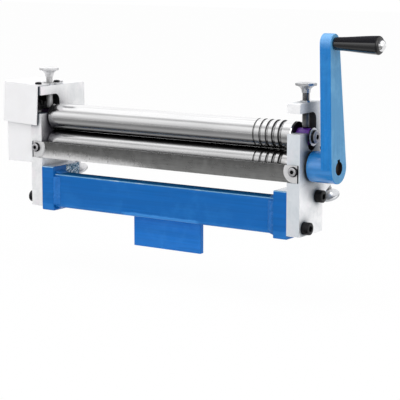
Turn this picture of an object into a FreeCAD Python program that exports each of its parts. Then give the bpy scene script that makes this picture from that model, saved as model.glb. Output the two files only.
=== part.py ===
"""Hand-cranked slip roll machine for a bench vise, in millimetres.

X runs along the rolls, +Y to the back, +Z up. The origin is on the underside of the base tube,
midway between the side plates and in the middle of the vise tongue's thickness.
"""
import FreeCAD, Part
import math
import os
import re

import Sketcher

V = FreeCAD.Vector

# Driving dimensions: alias, value in millimetres (angles in degrees, counts plain), meaning.
SIZES = (
    ("roll_span", 320, "between the side plates' inner faces"),
    ("plate_t", 15, "side plate thickness"),
    ("front_reach", 20, "from the tongue's middle plane to the plates' front"),
    ("foot_depth", 48, "side plate, front to back, at its foot"),
    ("head_depth", 79, "side plate, front to back, at its head"),
    ("plate_h", 136, "side plate height"),
    ("arm_t", 10, "arm over the roll slot"),
    ("throat_z", 105, "top of the front column"),
    ("corner_r", 3, "outer corners of the side plates"),
    ("roll_setback", 24.5, "front roll pair behind the plates' front"),
    ("lower_axis_z", 70.5, "axis of the driven roll"),
    ("roll_d", 30, "all three rolls"),
    ("roll_gap", 0.3, "between the pinch rolls, closed"),
    ("roll_end_gap", 0.5, "from a roll's shoulder to the side plate"),
    ("journal_d", 14, "journals of the pinch rolls"),
    ("idler_journal_d", 12, "journals of the rear roll"),
    ("slot_w", 17, "slot of the upper bushes"),
    ("slot_floor_z", 86.5, "lowest point of the slot"),
    ("slot_top_r", 8, "rounding at the slot's upper rear corner"),
    ("slide_gap", 0.1, "side clearance of a sliding bush or block"),
    ("run_gap", 0.05, "radial clearance of a running fit"),
    ("fit_gap", 0.03, "radial clearance of a fixed fit"),
    ("seat_gap", 0.3, "between a screw's tip and what it pushes"),
    ("lower_bush_d", 20, "outside of the flanged bush"),
    ("bush_flange_d", 25, "flange of the flanged bush"),
    ("bush_flange_t", 2, "thickness of that flange"),
    ("thrust_d", 29, "thrust washer of the upper roll"),
    ("thrust_t", 1.5, "thickness of that washer"),
    ("groove_count", 5, "wire grooves in each pinch roll"),
    ("groove_pitch", 7.8, "between wire grooves"),
    ("groove_edge", 15, "from the side plate to the last groove"),
    ("groove_r", 1, "radius of the smallest groove"),
    ("groove_step", 0.3, "growth from one groove to the next"),
    ("rear_setback", 56, "rear roll behind the plates' front, at rest"),
    ("rear_z", 75.5, "rear roll's height at rest"),
    ("rear_angle", 65, "slope of the rear slots from the horizontal"),
    ("rear_down", 13.5, "travel of the rear roll below rest"),
    ("rear_up", 7.5, "travel of the rear roll above rest"),
    ("block_w", 16, "rear bearing block, across its slot"),
    ("block_l", 20, "rear bearing block, along its slot"),
    ("block_end_gap", 0.4, "left at each end of the rear slot"),
    ("block_side_gap", 0.3, "from the block's outer face to the plate's"),
    ("rear_wall", 7, "plate below the rear slot, tapped for the screw"),
    ("screw_d", 8, "adjusting screws and frame screws"),
    ("press_stand", 19.5, "pressure screw above the plates' top, closed"),
    ("rear_knob_gap", 0.4, "from a rear knob to the plate, roll fully up"),
    ("collar_d", 12, "collar on the arm round a pressure screw"),
    ("collar_t", 1.5, "thickness of that collar"),
    ("knob_d", 22, "knob disc"),
    ("knob_t", 3, "knob disc thickness"),
    ("knob_hub_d", 14.5, "knob's cone where it meets the disc"),
    ("knob_neck_d", 9.2, "knob's cone at its thin end"),
    ("knob_hub_l", 7, "length of that cone"),
    ("knob_edge", 0.5, "bevel round the disc"),
    ("gear_teeth", 15, "teeth on each gear"),
    ("gear_w", 12, "gear face width"),
    ("gear_offset", 4, "from the side plate to the gear"),
    ("gear_backlash", 0.3, "tooth thinning at the pitch circle"),
    ("key_w", 5, "key width"),
    ("key_seat", 3, "keyway depth in a shaft"),
    ("key_rise", 2.3, "keyway depth in a hub"),
    ("key_top_gap", 0.2, "over the key in its hub"),
    ("end_washer_d", 19, "washer at a roll's end"),
    ("end_washer_t", 1.6, "thickness of that washer"),
    ("end_draw", 0.3, "shaft end short of the washer"),
    ("end_screw_l", 16, "end screw below its head"),
    ("boss_gap", 0.5, "from the bush flange to the crank's boss"),
    ("boss_l", 17, "crank boss"),
    ("crank_t", 12, "crank arm thickness"),
    ("crank_reach", 127, "crank radius"),
    ("crank_hub_d", 32, "crank arm's round end at the shaft"),
    ("crank_tip_d", 20, "crank arm's round end at the grip"),
    ("crank_lean", 5.2, "crank's lean to the front at rest"),
    ("crank_edge_r", 1, "rounding of the crank's outer edges"),
    ("shaft_recess", 3.5, "shaft end below the crank's face"),
    ("grub_d", 6, "grub screw in the crank's boss"),
    ("grub_l", 8, "grub screw length"),
    ("grip_l", 50, "grip sleeve"),
    ("grip_gap", 0.5, "from the crank to the grip"),
    ("grip_neck_d", 13.2, "grip at the crank"),
    ("grip_d", 18.8, "grip at its thickest"),
    ("grip_end_r", 3, "rounding of the grip's outer end"),
    ("spindle_d", 8, "grip spindle"),
    ("spindle_head_d", 12, "head of the spindle"),
    ("spindle_head_t", 3, "thickness of that head"),
    ("spindle_play", 0.3, "end float of the grip on its spindle"),
    ("cap_d", 12, "domed cap on the grip's end"),
    ("cap_plug_t", 1.8, "cap inside the grip"),
    ("cap_rise", 4.5, "dome of the cap"),
    ("tube_h", 38, "base tube height"),
    ("tube_d", 20, "base tube depth, flush with the tongue's back"),
    ("tube_wall", 2.5, "base tube wall"),
    ("tube_r", 3, "base tube corners"),
    ("end_block_t", 16, "end block thickness"),
    ("end_block_h", 50, "end block height"),
    ("end_block_drop", 4, "end block below the tube's underside"),
    ("end_block_edge", 1, "bevel of the end block"),
    ("tongue_l", 88, "vise tongue along X"),
    ("tongue_t", 6, "vise tongue thickness"),
    ("tongue_h", 35, "vise tongue height"),
    ("weld_groove", 2.5, "groove for the weld in the tongue's top front edge"),
    ("weld_leg", 3, "weld bead up the joined faces"),
    ("weld_run", 8, "tube weld along the tube"),
    ("frame_screw_l", 26, "frame screw below its head"),
    ("frame_front_y", 9.5, "lower frame screw behind the plates' front"),
    ("frame_front_z", 8.5, "lower frame screw's height"),
    ("frame_rear_y", 36.5, "upper frame screw behind the plates' front"),
    ("frame_rear_z", 38, "upper frame screw's height"),
    ("screw_clear", 0.2, "radial clearance of a screw in a plain hole"),
    ("tie_z", 55.5, "underside of the tie plate"),
    ("tie_h", 18, "tie plate height"),
    ("tie_t", 6, "tie plate thickness"),
    ("tie_relief", 0.8, "tie plate's middle behind its end pads"),
    ("tie_pad_r", 11.5, "round inner end of a pad"),
    ("tie_lip", 1.4, "plate left outside the tie plate's notch"),
    ("tie_end_gap", 1.5, "from the tie plate's end to that lip"),
    ("tie_notch_gap", 0.2, "over and under the tie plate in its notch"),
    ("tie_screw_d", 6, "tie plate screw"),
    ("tie_screw_l", 12, "tie plate screw below its head"),
    ("tie_screw_z", 67, "tie plate screw's height"),
    ("guard_t", 1.5, "guard sheet"),
    ("guard_out", 35.5, "upper guard outside the side plate"),
    ("guard_lower_out", 34.5, "lower guard outside the side plate"),
    ("guard_depth", 62, "upper guard, front to back"),
    ("guard_stand", 1.8, "upper guard's front sheet ahead of the plate"),
    ("guard_tilt", 3, "upper guard's flare outward to its lower edge"),
    ("guard_screw_lift", 0.55, "heads of the top screws over the flat sheet"),
    ("guard_skirt_z", 92, "lower edge of the upper guard"),
    ("guard_lap", 3, "lower guard up inside the upper"),
    ("guard_foot_z", 49, "underside of the lower guard"),
    ("guard_nest", 0.5, "clearance behind the lower guard, inside the upper"),
    ("guard_cheek", 12.5, "upper guard over the side plate's edge"),
    ("guard_ear", 42, "that cheek's depth on the plate's top"),
    ("guard_notch", 13, "notch round the pressure screw"),
    ("guard_tab_w", 15, "lower guard's screw tab, width"),
    ("guard_tab_h", 9.5, "lower guard's screw tab, height"),
    ("guard_screw_d", 4, "guard screws"),
    ("guard_screw_l", 8, "guard screw below its head"),
    ("guard_screw_front", 5, "first top screw behind the plates' front"),
    ("guard_screw_rear", 37.5, "second top screw behind the plates' front"),
)

ALIASES = {alias for alias, value, meaning in SIZES}
WORD = re.compile(r"[a-z][a-z0-9_]*")

doc = FreeCAD.newDocument("slip_roll_machine")
sheet = doc.addObject("Spreadsheet::Sheet", "Sizes")
for row, (alias, number, meaning) in enumerate(SIZES, start=1):
    sheet.set(f"A{row}", meaning)
    sheet.set(f"B{row}", str(number))
    sheet.setAlias(f"B{row}", alias)
doc.recompute()

# Places that several pieces share, written as expressions of the sizes.
INNER = "(roll_span / 2)"
OUTER = "(roll_span / 2 + plate_t)"
MIDDLE = "(roll_span / 2 + plate_t / 2)"
FRONT = "(-front_reach)"
ROLL_Y = "(roll_setback - front_reach)"
UPPER_AXIS_Z = "(lower_axis_z + roll_d + roll_gap)"
UPPER_BUSH_R = "(slot_w / 2 - slide_gap)"
REAR_Y = "(rear_setback - front_reach)"
REAR_LEAN = "(90 - rear_angle)"
REAR_SLOT_LOW = "(rear_down + block_l / 2 + block_end_gap)"
REAR_SLOT_HIGH = "(rear_up + block_l / 2 + block_end_gap)"
PRESS_TIP_Z = f"({UPPER_AXIS_Z} + {UPPER_BUSH_R} + seat_gap)"
PRESS_SCREW_L = f"(plate_h + press_stand - {PRESS_TIP_Z})"
REAR_TIP = "(block_l / 2 + seat_gap)"
REAR_SCREW_L = f"({REAR_SLOT_LOW} + rear_wall + rear_up + rear_knob_gap + knob_hub_l + knob_t - {REAR_TIP})"
SHOULDER = "(roll_span / 2 - roll_end_gap)"
UPPER_SHOULDER = "(roll_span / 2 - roll_end_gap - thrust_t)"
GEAR_NEAR = "(roll_span / 2 + plate_t + gear_offset)"
GEAR_FAR = "(roll_span / 2 + plate_t + gear_offset + gear_w)"
BOSS_START = "(roll_span / 2 + plate_t + bush_flange_t + boss_gap)"
CRANK_NEAR = "(roll_span / 2 + plate_t + bush_flange_t + boss_gap + boss_l)"
CRANK_FAR = "(roll_span / 2 + plate_t + bush_flange_t + boss_gap + boss_l + crank_t)"
GRIP_Y = f"({ROLL_Y} - crank_reach * sin(crank_lean))"
GRIP_Z = "(lower_axis_z + crank_reach * cos(crank_lean))"
GRIP_NEAR = f"({CRANK_FAR} + grip_gap)"
BLOCK_INNER = "(roll_span / 2 - end_block_t)"
TUBE_BACK = "(tongue_t / 2)"
TUBE_FRONT = "(tongue_t / 2 - tube_d)"
TIE_END = "(roll_span / 2 + plate_t - tie_lip - tie_end_gap)"
GUARD_FRONT = "(-front_reach - guard_stand - guard_t)"
GUARD_BACK = "(guard_depth - front_reach - guard_stand - guard_t)"

nodes = []


def bound(expression):
    """Name the sheet before every size in an expression."""
    return WORD.sub(lambda word: f"Sizes.{word[0]}" if word[0] in ALIASES else word[0], expression)


def size(alias):
    """Value of one cell of the sheet."""
    return float(sheet.get(alias))


def place(item, x="0", y="0", z="0", axis=V(1, 0, 0), angle=None):
    """Bind an item's position, and its turn about an axis through its own origin."""
    if angle is not None:
        item.Placement = FreeCAD.Placement(V(), FreeCAD.Rotation(axis, 1))
        item.setExpression("Placement.Rotation.Angle", bound(angle))
    for letter, distance in zip("xyz", (x, y, z)):
        item.setExpression(f"Placement.Base.{letter}", bound(distance))
    return item


def keep(item, name=None):
    """Hand an object in as a node under its own label."""
    item.Label = name or item.Label
    nodes.append(item)
    return item


# ---------------------------------------------------------------- sketches and features

def new_body(name):
    body = doc.addObject("PartDesign::Body", name)
    body.Label = name
    return body


def new_sketch(body, name, plane, level="0"):
    """Sketch on one of the body's origin planes, moved along the plane's normal."""
    sketch = body.newObject("Sketcher::SketchObject", f"{body.Name}_{name}")
    support = next(item for item in body.Origin.OriginFeatures if item.Role == plane)
    sketch.AttachmentSupport = [(support, "")]
    sketch.MapMode = "FlatFace"
    sketch.setExpression("AttachmentOffset.Base.z", bound(level))
    return sketch


def hold(sketch, kind, geometry, point, expression):
    """Fix one coordinate of a sketch point to an expression."""
    index = sketch.addConstraint(Sketcher.Constraint(kind, -1, 1, geometry, point, 1.0))
    label = f"{kind}_{geometry}_{point}"
    sketch.renameConstraint(index, label)
    sketch.setExpression(f"Constraints.{label}", bound(expression))


def add_polygon(sketch, corners):
    """Closed outline through corners given as pairs of expressions."""
    first = sketch.GeometryCount
    count = len(corners)
    around = [V(math.cos(turn), math.sin(turn), 0) * 10
              for turn in (2 * math.pi * index / count for index in range(count))]
    for index in range(count):
        sketch.addGeometry(Part.LineSegment(around[index], around[(index + 1) % count]))
    for index in range(count):
        following = first + (index + 1) % count
        sketch.addConstraint(Sketcher.Constraint("Coincident", first + index, 2, following, 1))
    for index, (across, up) in enumerate(corners):
        hold(sketch, "DistanceX", first + index, 1, across)
        hold(sketch, "DistanceY", first + index, 1, up)


def add_rectangle(sketch, left, right, low, high):
    add_polygon(sketch, ((left, low), (right, low), (right, high), (left, high)))


def add_circle(sketch, across, up, radius):
    geometry = sketch.addGeometry(Part.Circle(V(1, 1, 0), V(0, 0, 1), 2))
    hold(sketch, "DistanceX", geometry, 3, across)
    hold(sketch, "DistanceY", geometry, 3, up)
    index = sketch.addConstraint(Sketcher.Constraint("Radius", geometry, 2.0))
    sketch.renameConstraint(index, f"radius_{geometry}")
    sketch.setExpression(f"Constraints.radius_{geometry}", bound(radius))


def add_pad(body, sketch, length, both_ways=False):
    pad = body.newObject("PartDesign::Pad", f"{sketch.Name}_pad")
    pad.Profile = sketch
    if both_ways:
        pad.SideType = "Symmetric"
    pad.setExpression("Length", bound(length))
    return pad


def add_pocket(body, sketch, depth=None):
    """Cut against the sketch's normal, to a depth or right through."""
    pocket = body.newObject("PartDesign::Pocket", f"{sketch.Name}_pocket")
    pocket.Profile = sketch
    if depth is None:
        pocket.Type = "ThroughAll"
    else:
        pocket.setExpression("Length", bound(depth))
    return pocket


def add_revolution(body, sketch, axis, cutting=False):
    """Turn a sketch about its own horizontal or vertical axis."""
    kind = "Groove" if cutting else "Revolution"
    feature = body.newObject(f"PartDesign::{kind}", f"{sketch.Name}_{kind.lower()}")
    feature.Profile = sketch
    feature.ReferenceAxis = (sketch, [axis])
    return feature


def add_edge_feature(body, kind, amount, wanted):
    """Fillet or chamfer the edges for which wanted(edge) is true."""
    doc.recompute()
    base = body.Tip
    names = [f"Edge{number}" for number, edge in enumerate(base.Shape.Edges, start=1) if wanted(edge)]
    feature = body.newObject(f"PartDesign::{kind}", f"{base.Name}_{kind.lower()}")
    feature.Base = (base, names)
    feature.setExpression("Radius" if kind == "Fillet" else "Size", bound(amount))
    return feature


def along_x(edge, y=None, z=None):
    """True for a straight edge parallel to X, at the place given."""
    if not isinstance(edge.Curve, Part.Line):
        return False
    start, end = edge.Vertexes[0].Point, edge.Vertexes[-1].Point
    level = math.hypot(start.y - end.y, start.z - end.z) < 1e-6
    return level and all(wish is None or abs(wish - place) < 1e-6
                         for wish, place in ((y, start.y), (z, start.z)))


def turned_x(name, corners):
    """Body of revolution about X, from (x, radius) corners."""
    body = new_body(name)
    sketch = new_sketch(body, "profile", "XY_Plane")
    add_polygon(sketch, corners)
    add_revolution(body, sketch, "H_Axis")
    return body


def turned_z(name, corners):
    """Body of revolution about Z, from (radius, z) corners."""
    body = new_body(name)
    sketch = new_sketch(body, "profile", "XZ_Plane")
    add_polygon(sketch, corners)
    add_revolution(body, sketch, "V_Axis")
    return body


def ring_x(name, near, far, bore_r, rim_r):
    """Plain sleeve or washer about X."""
    return turned_x(name, ((near, bore_r), (far, bore_r), (far, rim_r), (near, rim_r)))


# ---------------------------------------------------------------- primitives and booleans

def box(name, low, high):
    """Box between two corners given as expressions."""
    item = doc.addObject("Part::Box", name)
    for length, start, end in zip(("Length", "Width", "Height"), low, high):
        item.setExpression(length, bound(f"({end}) - ({start})"))
    return place(item, *low)


def rod(name, radius, length):
    """Cylinder standing on its own origin, along its own Z."""
    item = doc.addObject("Part::Cylinder", name)
    item.setExpression("Radius", bound(radius))
    item.setExpression("Height", bound(length))
    return item


def cut(name, base, tools):
    item = doc.addObject("Part::Cut", name)
    item.Base = base
    item.Tool = tools[0] if len(tools) == 1 else fuse(f"{name}_tools", tools)
    item.Label = name
    return item


def fuse(name, members):
    item = doc.addObject("Part::MultiFuse", name)
    item.Shapes = list(members)
    return item


def group(name, members):
    """Separate solids that share one node."""
    item = doc.addObject("Part::Compound", name)
    item.Links = list(members)
    item.Label = name
    return item


def mirrored(name, source):
    item = doc.addObject("Part::Mirroring", name)
    item.Source = source
    item.Normal = V(1, 0, 0)
    item.Label = name
    return item


def screw(name, head_d, head_h, shank_d, shank_l, socket, domed=False):
    """Socket screw along its own Z, its head's seat at the origin."""
    crown = "0.3" if domed else "0.92"
    waist = f"({head_h}) * 0.35" if domed else f"({head_h}) * 0.94"
    body = turned_z(name, (("0", f"-({shank_l})"), (f"({shank_d}) / 2 - 0.5", f"-({shank_l})"),
                           (f"({shank_d}) / 2", f"-({shank_l}) + 0.6"), (f"({shank_d}) / 2", "0"),
                           (f"({head_d}) / 2", "0"), (f"({head_d}) / 2", waist),
                           (f"({head_d}) / 2 * (0.55 + 0.45 * {crown})", head_h), ("0", head_h)))
    hexagon = new_sketch(body, "socket", "XY_Plane", head_h)
    across_corners = f"({socket}) / cos(30) / 2"
    add_polygon(hexagon, [(f"{across_corners} * cos({turn})", f"{across_corners} * sin({turn})")
                          for turn in range(0, 360, 60)])
    add_pocket(body, hexagon, f"({head_h}) * 0.6")
    return body


# ---------------------------------------------------------------- side plates

def rear_point(travel, across):
    """Point of the sloping rear slot: travel up the slope, and across it to the back."""
    y = f"{REAR_Y} - cos(rear_angle) * ({travel}) + sin(rear_angle) * ({across})"
    z = f"rear_z + sin(rear_angle) * ({travel}) + cos(rear_angle) * ({across})"
    return y, z


def sloping_edge_z(y):
    """Height of the plate's sloping lower rear edge, which is square to the rear screw."""
    edge_y, edge_z = rear_point(f"-({REAR_SLOT_LOW} + rear_wall)", "0")
    return f"({edge_z}) + (({y}) - ({edge_y})) / tan(rear_angle)"


def make_side_plate():
    """Right side plate: open slot for the upper bush, closed sloping slot for the rear block."""
    body = new_body("plate_blank")
    foot_y, head_y = "(foot_depth - front_reach)", "(head_depth - front_reach)"
    slot_front, slot_rear = f"({ROLL_Y} - slot_w / 2)", f"({ROLL_Y} + slot_w / 2)"
    slot_turn = "(slot_floor_z + slot_w / 2)"
    outline = new_sketch(body, "outline", "YZ_Plane", INNER)
    add_polygon(outline, (
        (FRONT, "0"), (foot_y, "0"), (foot_y, sloping_edge_z(foot_y)), (head_y, sloping_edge_z(head_y)),
        (head_y, "plate_h"), (FRONT, "plate_h"), (FRONT, "plate_h - arm_t"),
        (slot_rear, "plate_h - arm_t"), (slot_rear, slot_turn), (slot_front, slot_turn),
        (slot_front, "throat_z"), (FRONT, "throat_z")))
    add_pad(body, outline, "plate_t")

    slot_end = new_sketch(body, "slot_end", "YZ_Plane", OUTER)
    add_circle(slot_end, ROLL_Y, slot_turn, "slot_w / 2")
    add_pocket(body, slot_end)

    rear_slot = new_sketch(body, "rear_slot", "YZ_Plane", OUTER)
    half = "(block_w / 2 + slide_gap)"
    low, high = f"-{REAR_SLOT_LOW}", REAR_SLOT_HIGH
    add_polygon(rear_slot, (rear_point(low, f"-{half}"), rear_point(low, half),
                            rear_point(high, half), rear_point(high, f"-{half}")))
    add_pocket(body, rear_slot)

    holes = new_sketch(body, "holes", "YZ_Plane", OUTER)
    add_circle(holes, ROLL_Y, "lower_axis_z", "lower_bush_d / 2 + fit_gap")
    for y, z in (("frame_front_y", "frame_front_z"), ("frame_rear_y", "frame_rear_z")):
        add_circle(holes, f"{y} - front_reach", z, "screw_d / 2 + screw_clear")
    add_pocket(body, holes)

    notch = new_sketch(body, "notch", "XZ_Plane", "front_reach")
    add_rectangle(notch, f"{INNER} - 1", f"{OUTER} - tie_lip",
                  "tie_z - tie_notch_gap", "tie_z + tie_h + tie_notch_gap")
    add_pocket(body, notch, "tie_t")
    tie_hole = new_sketch(body, "tie_hole", "XZ_Plane", "front_reach")
    add_circle(tie_hole, MIDDLE, "tie_screw_z", "tie_screw_d / 2 + fit_gap")
    add_pocket(body, tie_hole, "tie_screw_l + 1")

    press_hole = new_sketch(body, "press_hole", "XY_Plane", "plate_h")
    add_circle(press_hole, MIDDLE, ROLL_Y, "screw_d / 2 + run_gap")
    add_pocket(body, press_hole, "arm_t + 1")

    front, top = -size("front_reach"), size("plate_h")
    back = size("head_depth") - size("front_reach")
    slot_back = size("roll_setback") - size("front_reach") + size("slot_w") / 2
    add_edge_feature(body, "Fillet", "slot_top_r",
                     lambda edge: along_x(edge, slot_back, top - size("arm_t")))
    add_edge_feature(body, "Fillet", "corner_r", lambda edge: along_x(edge, back, top))
    add_edge_feature(body, "Chamfer", "corner_r / 6",
                     lambda edge: along_x(edge, front, top) or along_x(edge, front, 0))

    bore = rod("rear_screw_bore", "screw_d / 2 + run_gap", "rear_wall + block_l")
    y, z = rear_point(f"-({REAR_SLOT_LOW} + rear_wall + block_l / 2)", "0")
    place(bore, MIDDLE, y, z, angle=REAR_LEAN)
    return cut("side_plate_right", body, [bore])


def guard_screw_places():
    """Where the guard's screws sit: (x, y, z, turn about Y, or none) for each."""
    tab_y = "(guard_t + guard_tab_w / 2 - front_reach)"
    rear_tab_y = f"({GUARD_BACK} - 2 * guard_t - guard_nest - guard_tab_w / 2)"
    tab_z = "(guard_foot_z + guard_t + guard_tab_h / 2)"
    top = "(plate_h + guard_t + guard_screw_lift)"
    side = f"-({OUTER} + guard_t)"
    return ((f"-{MIDDLE}", "guard_screw_front - front_reach", top, None),
            (f"-{MIDDLE}", "guard_screw_rear - front_reach", top, None),
            (side, tab_y, tab_z, "-90"), (side, rear_tab_y, tab_z, "-90"))


def guard_screw_holes(prefix, clearance="fit_gap"):
    """Holes for the guard's screws, each reaching a little past its screw's tip."""
    holes = []
    for number, (x, y, z, turn) in enumerate(guard_screw_places(), start=1):
        hole = rod(f"{prefix}_{number}", f"guard_screw_d / 2 + {clearance}", "guard_screw_l + 1.5")
        if turn is None:
            place(hole, x, y, f"{z} - guard_screw_l - 0.5")
        else:
            place(hole, f"{x} - 1", y, z, axis=V(0, 1, 0), angle="90")
        holes.append(hole)
    return holes


def make_side_plates():
    right = keep(make_side_plate())
    left = mirrored("plate_blank_left", right)
    keep(cut("side_plate_left", left, guard_screw_holes("plate_guard_hole")))


# ---------------------------------------------------------------- welded base

def weld_bead(name, plane, corners, length, level="0"):
    """Triangular bead, its section drawn on a plane and run equally both ways from a level."""
    bead = new_body(name)
    section = new_sketch(bead, "section", plane, level)
    add_polygon(section, corners)
    add_pad(bead, section, length, both_ways=True)
    return bead


def make_welds():
    """Bead that fills the tongue's groove, and beads round the tube where it meets the end blocks."""
    face = "-tongue_t / 2"
    keep(weld_bead("tongue_weld", "YZ_Plane",
                   ((face, "0"), (f"{face} + weld_groove", "0"), (face, "-weld_groove")),
                   "tongue_l"))

    beads = []
    run = f"({BLOCK_INNER} - weld_run)"
    for side, face, leg in (("front", TUBE_FRONT, f"{TUBE_FRONT} - weld_leg"),
                            ("rear", TUBE_BACK, f"{TUBE_BACK} + weld_leg")):
        beads.append(weld_bead(f"tube_bead_{side}", "XY_Plane",
                               ((BLOCK_INNER, face), (BLOCK_INNER, leg), (run, face)),
                               "tube_h - 2 * tube_r", "tube_h / 2"))
    middle = f"-({TUBE_FRONT} + {TUBE_BACK}) / 2"
    for side, face, leg in (("top", "tube_h", "tube_h + weld_leg"), ("under", "0", "-weld_leg")):
        beads.append(weld_bead(f"tube_bead_{side}", "XZ_Plane",
                               ((BLOCK_INNER, face), (BLOCK_INNER, leg), (run, face)),
                               "tube_d - 2 * tube_r", middle))
    right = group("tube_weld_right", beads)
    keep(right)
    keep(mirrored("tube_weld_left", right))


def make_base():
    """Box tube between two end blocks, with the vise tongue under it."""
    tube = new_body("base_tube")
    outline = new_sketch(tube, "outline", "YZ_Plane")
    add_rectangle(outline, TUBE_FRONT, TUBE_BACK, "0", "tube_h")
    add_pad(tube, outline, f"2 * {BLOCK_INNER}", both_ways=True)
    add_edge_feature(tube, "Fillet", "tube_r", along_x)
    hollow = new_sketch(tube, "hollow", "YZ_Plane", INNER)
    add_rectangle(hollow, f"{TUBE_FRONT} + tube_wall", f"{TUBE_BACK} - tube_wall",
                  "tube_wall", "tube_h - tube_wall")
    add_pocket(tube, hollow)
    keep(tube)

    block = new_body("end_block_right")
    outline = new_sketch(block, "outline", "YZ_Plane", BLOCK_INNER)
    add_rectangle(outline, FRONT, "foot_depth - front_reach",
                  "-end_block_drop", "end_block_h - end_block_drop")
    add_pad(block, outline, "end_block_t")
    add_edge_feature(block, "Chamfer", "end_block_edge", along_x)
    holes = new_sketch(block, "holes", "YZ_Plane", INNER)
    for y, z in (("frame_front_y", "frame_front_z"), ("frame_rear_y", "frame_rear_z")):
        add_circle(holes, f"{y} - front_reach", z, "screw_d / 2 + fit_gap")
    add_pocket(block, holes, "frame_screw_l - plate_t + 2")
    keep(block)
    keep(mirrored("end_block_left", block))

    tongue = new_body("vise_tongue")
    section = new_sketch(tongue, "section", "YZ_Plane")
    add_polygon(section, (("-tongue_t / 2", "-tongue_h"), ("tongue_t / 2", "-tongue_h"),
                          ("tongue_t / 2", "0"), ("-tongue_t / 2 + weld_groove", "0"),
                          ("-tongue_t / 2", "-weld_groove")))
    add_pad(tongue, section, "tongue_l", both_ways=True)
    keep(tongue)

    make_welds()
    screws = []
    for side, turn in ((1, "90"), (-1, "-90")):
        for y, z in (("frame_front_y", "frame_front_z"), ("frame_rear_y", "frame_rear_z")):
            item = screw(f"frame_screw_{len(screws) + 1}", "screw_d * 1.625", "screw_d",
                         "screw_d", "frame_screw_l", "screw_d * 0.75")
            place(item, f"{side} * {OUTER}", f"{y} - front_reach", z, axis=V(0, 1, 0), angle=turn)
            screws.append(item)
    keep(group("frame_cap_screws", screws))


def make_tie_plate():
    """Flat bar let into the plates' front, relieved between two round-ended pads."""
    bar = new_body("tie_plate")
    outline = new_sketch(bar, "outline", "XZ_Plane", "front_reach - tie_relief")
    add_rectangle(outline, f"-{TIE_END}", TIE_END, "tie_z", "tie_z + tie_h")
    pad = add_pad(bar, outline, "tie_t - tie_relief")
    pad.Reversed = True
    screw_x = {"right": MIDDLE, "left": f"-{MIDDLE}"}
    pads = []
    for side, x in screw_x.items():
        end = TIE_END if side == "right" else f"-{TIE_END}"
        low, high = (x, end) if side == "right" else (end, x)
        slab = box(f"tie_slab_{side}", (low, FRONT, "tie_z"), (high, f"{FRONT} + tie_t / 2", "tie_z + tie_h"))
        nose = rod(f"tie_nose_{side}", "tie_pad_r", "tie_t / 2")
        place(nose, x, f"{FRONT} + tie_t / 2", "tie_screw_z", angle="90")
        limit = box(f"tie_limit_{side}", (f"{x} - 2 * tie_pad_r", FRONT, "tie_z"),
                    (f"{x} + tie_pad_r / 4", f"{FRONT} + tie_t / 2", "tie_z + tie_h")) if side == "right" else \
            box(f"tie_limit_{side}", (f"{x} - tie_pad_r / 4", FRONT, "tie_z"),
                (f"{x} + 2 * tie_pad_r", f"{FRONT} + tie_t / 2", "tie_z + tie_h"))
        rounded = doc.addObject("Part::Common", f"tie_round_{side}")
        rounded.Base = nose
        rounded.Tool = limit
        pads += [slab, rounded]
    whole = fuse("tie_whole", [bar] + pads)
    holes = []
    for side, x in screw_x.items():
        hole = rod(f"tie_hole_{side}", "tie_screw_d / 2 + screw_clear", "tie_t + 2")
        holes.append(place(hole, x, f"{FRONT} + tie_t + 1", "tie_screw_z", angle="90"))
    bar.Label = "tie_bar_blank"
    keep(cut("tie_plate_bar", whole, holes), "tie_plate")

    screws = []
    for side, x in screw_x.items():
        item = screw(f"tie_screw_{side}", "tie_screw_d * 1.75", "tie_screw_d * 0.55",
                     "tie_screw_d", "tie_screw_l", "tie_screw_d * 0.66", domed=True)
        screws.append(place(item, x, FRONT, "tie_screw_z", angle="90"))
    keep(group("tie_plate_screws", screws))


# ---------------------------------------------------------------- rolls

def cut_wire_grooves(name, blank, z):
    """Round grooves near a roll's right end, growing towards it."""
    rings = []
    count = int(size("groove_count"))
    for index in range(count):
        ring = doc.addObject("Part::Torus", f"{name}_groove_{index + 1}")
        ring.setExpression("Radius1", bound("roll_d / 2"))
        ring.setExpression("Radius2", bound(f"groove_r + groove_step * {index}"))
        x = f"{INNER} - groove_edge - groove_pitch * {count - 1 - index}"
        rings.append(place(ring, x, ROLL_Y, z, axis=V(0, 1, 0), angle="90"))
    blank.Label = f"{name}_blank"
    return cut(f"{name}_grooved", blank, rings)


def roll_blank(name, shoulder, journal_d, left_end, right_end):
    """Roll with a bevelled shoulder and a plain journal at each end."""
    bevel, journal_r, roll_r = "0.8", f"({journal_d}) / 2", "roll_d / 2"
    return turned_x(name, (
        (f"-({left_end})", "0"), (f"-({left_end})", journal_r), (f"-({shoulder})", journal_r),
        (f"-({shoulder})", f"{roll_r} - {bevel}"), (f"-({shoulder}) + {bevel}", roll_r),
        (f"({shoulder}) - {bevel}", roll_r), (f"({shoulder})", f"{roll_r} - {bevel}"),
        (f"({shoulder})", journal_r), (right_end, journal_r), (right_end, "0")))


def add_keyway(body, name, start, end):
    """Slot in a shaft's upper side for a key."""
    sketch = new_sketch(body, name, "XY_Plane", "journal_d / 2 + 1")
    add_rectangle(sketch, start, end, "-key_w / 2", "key_w / 2")
    add_pocket(body, sketch, "key_seat + 1")


def add_end_hole(body, name, end, toward_right):
    """Tapped hole in a shaft's end for its screw."""
    sketch = new_sketch(body, name, "YZ_Plane", end)
    add_circle(sketch, "0", "0", "screw_d / 2 + fit_gap")
    pocket = add_pocket(body, sketch, "end_screw_l + 1")
    pocket.Reversed = not toward_right


def shaft_key(name, start, end):
    """Square key standing in a shaft's upper side."""
    return turned_key_box(name, (start, "-key_w / 2 + fit_gap", "journal_d / 2 - key_seat"),
                          (end, "key_w / 2 - fit_gap", "journal_d / 2 + key_rise - key_top_gap"))


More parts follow.
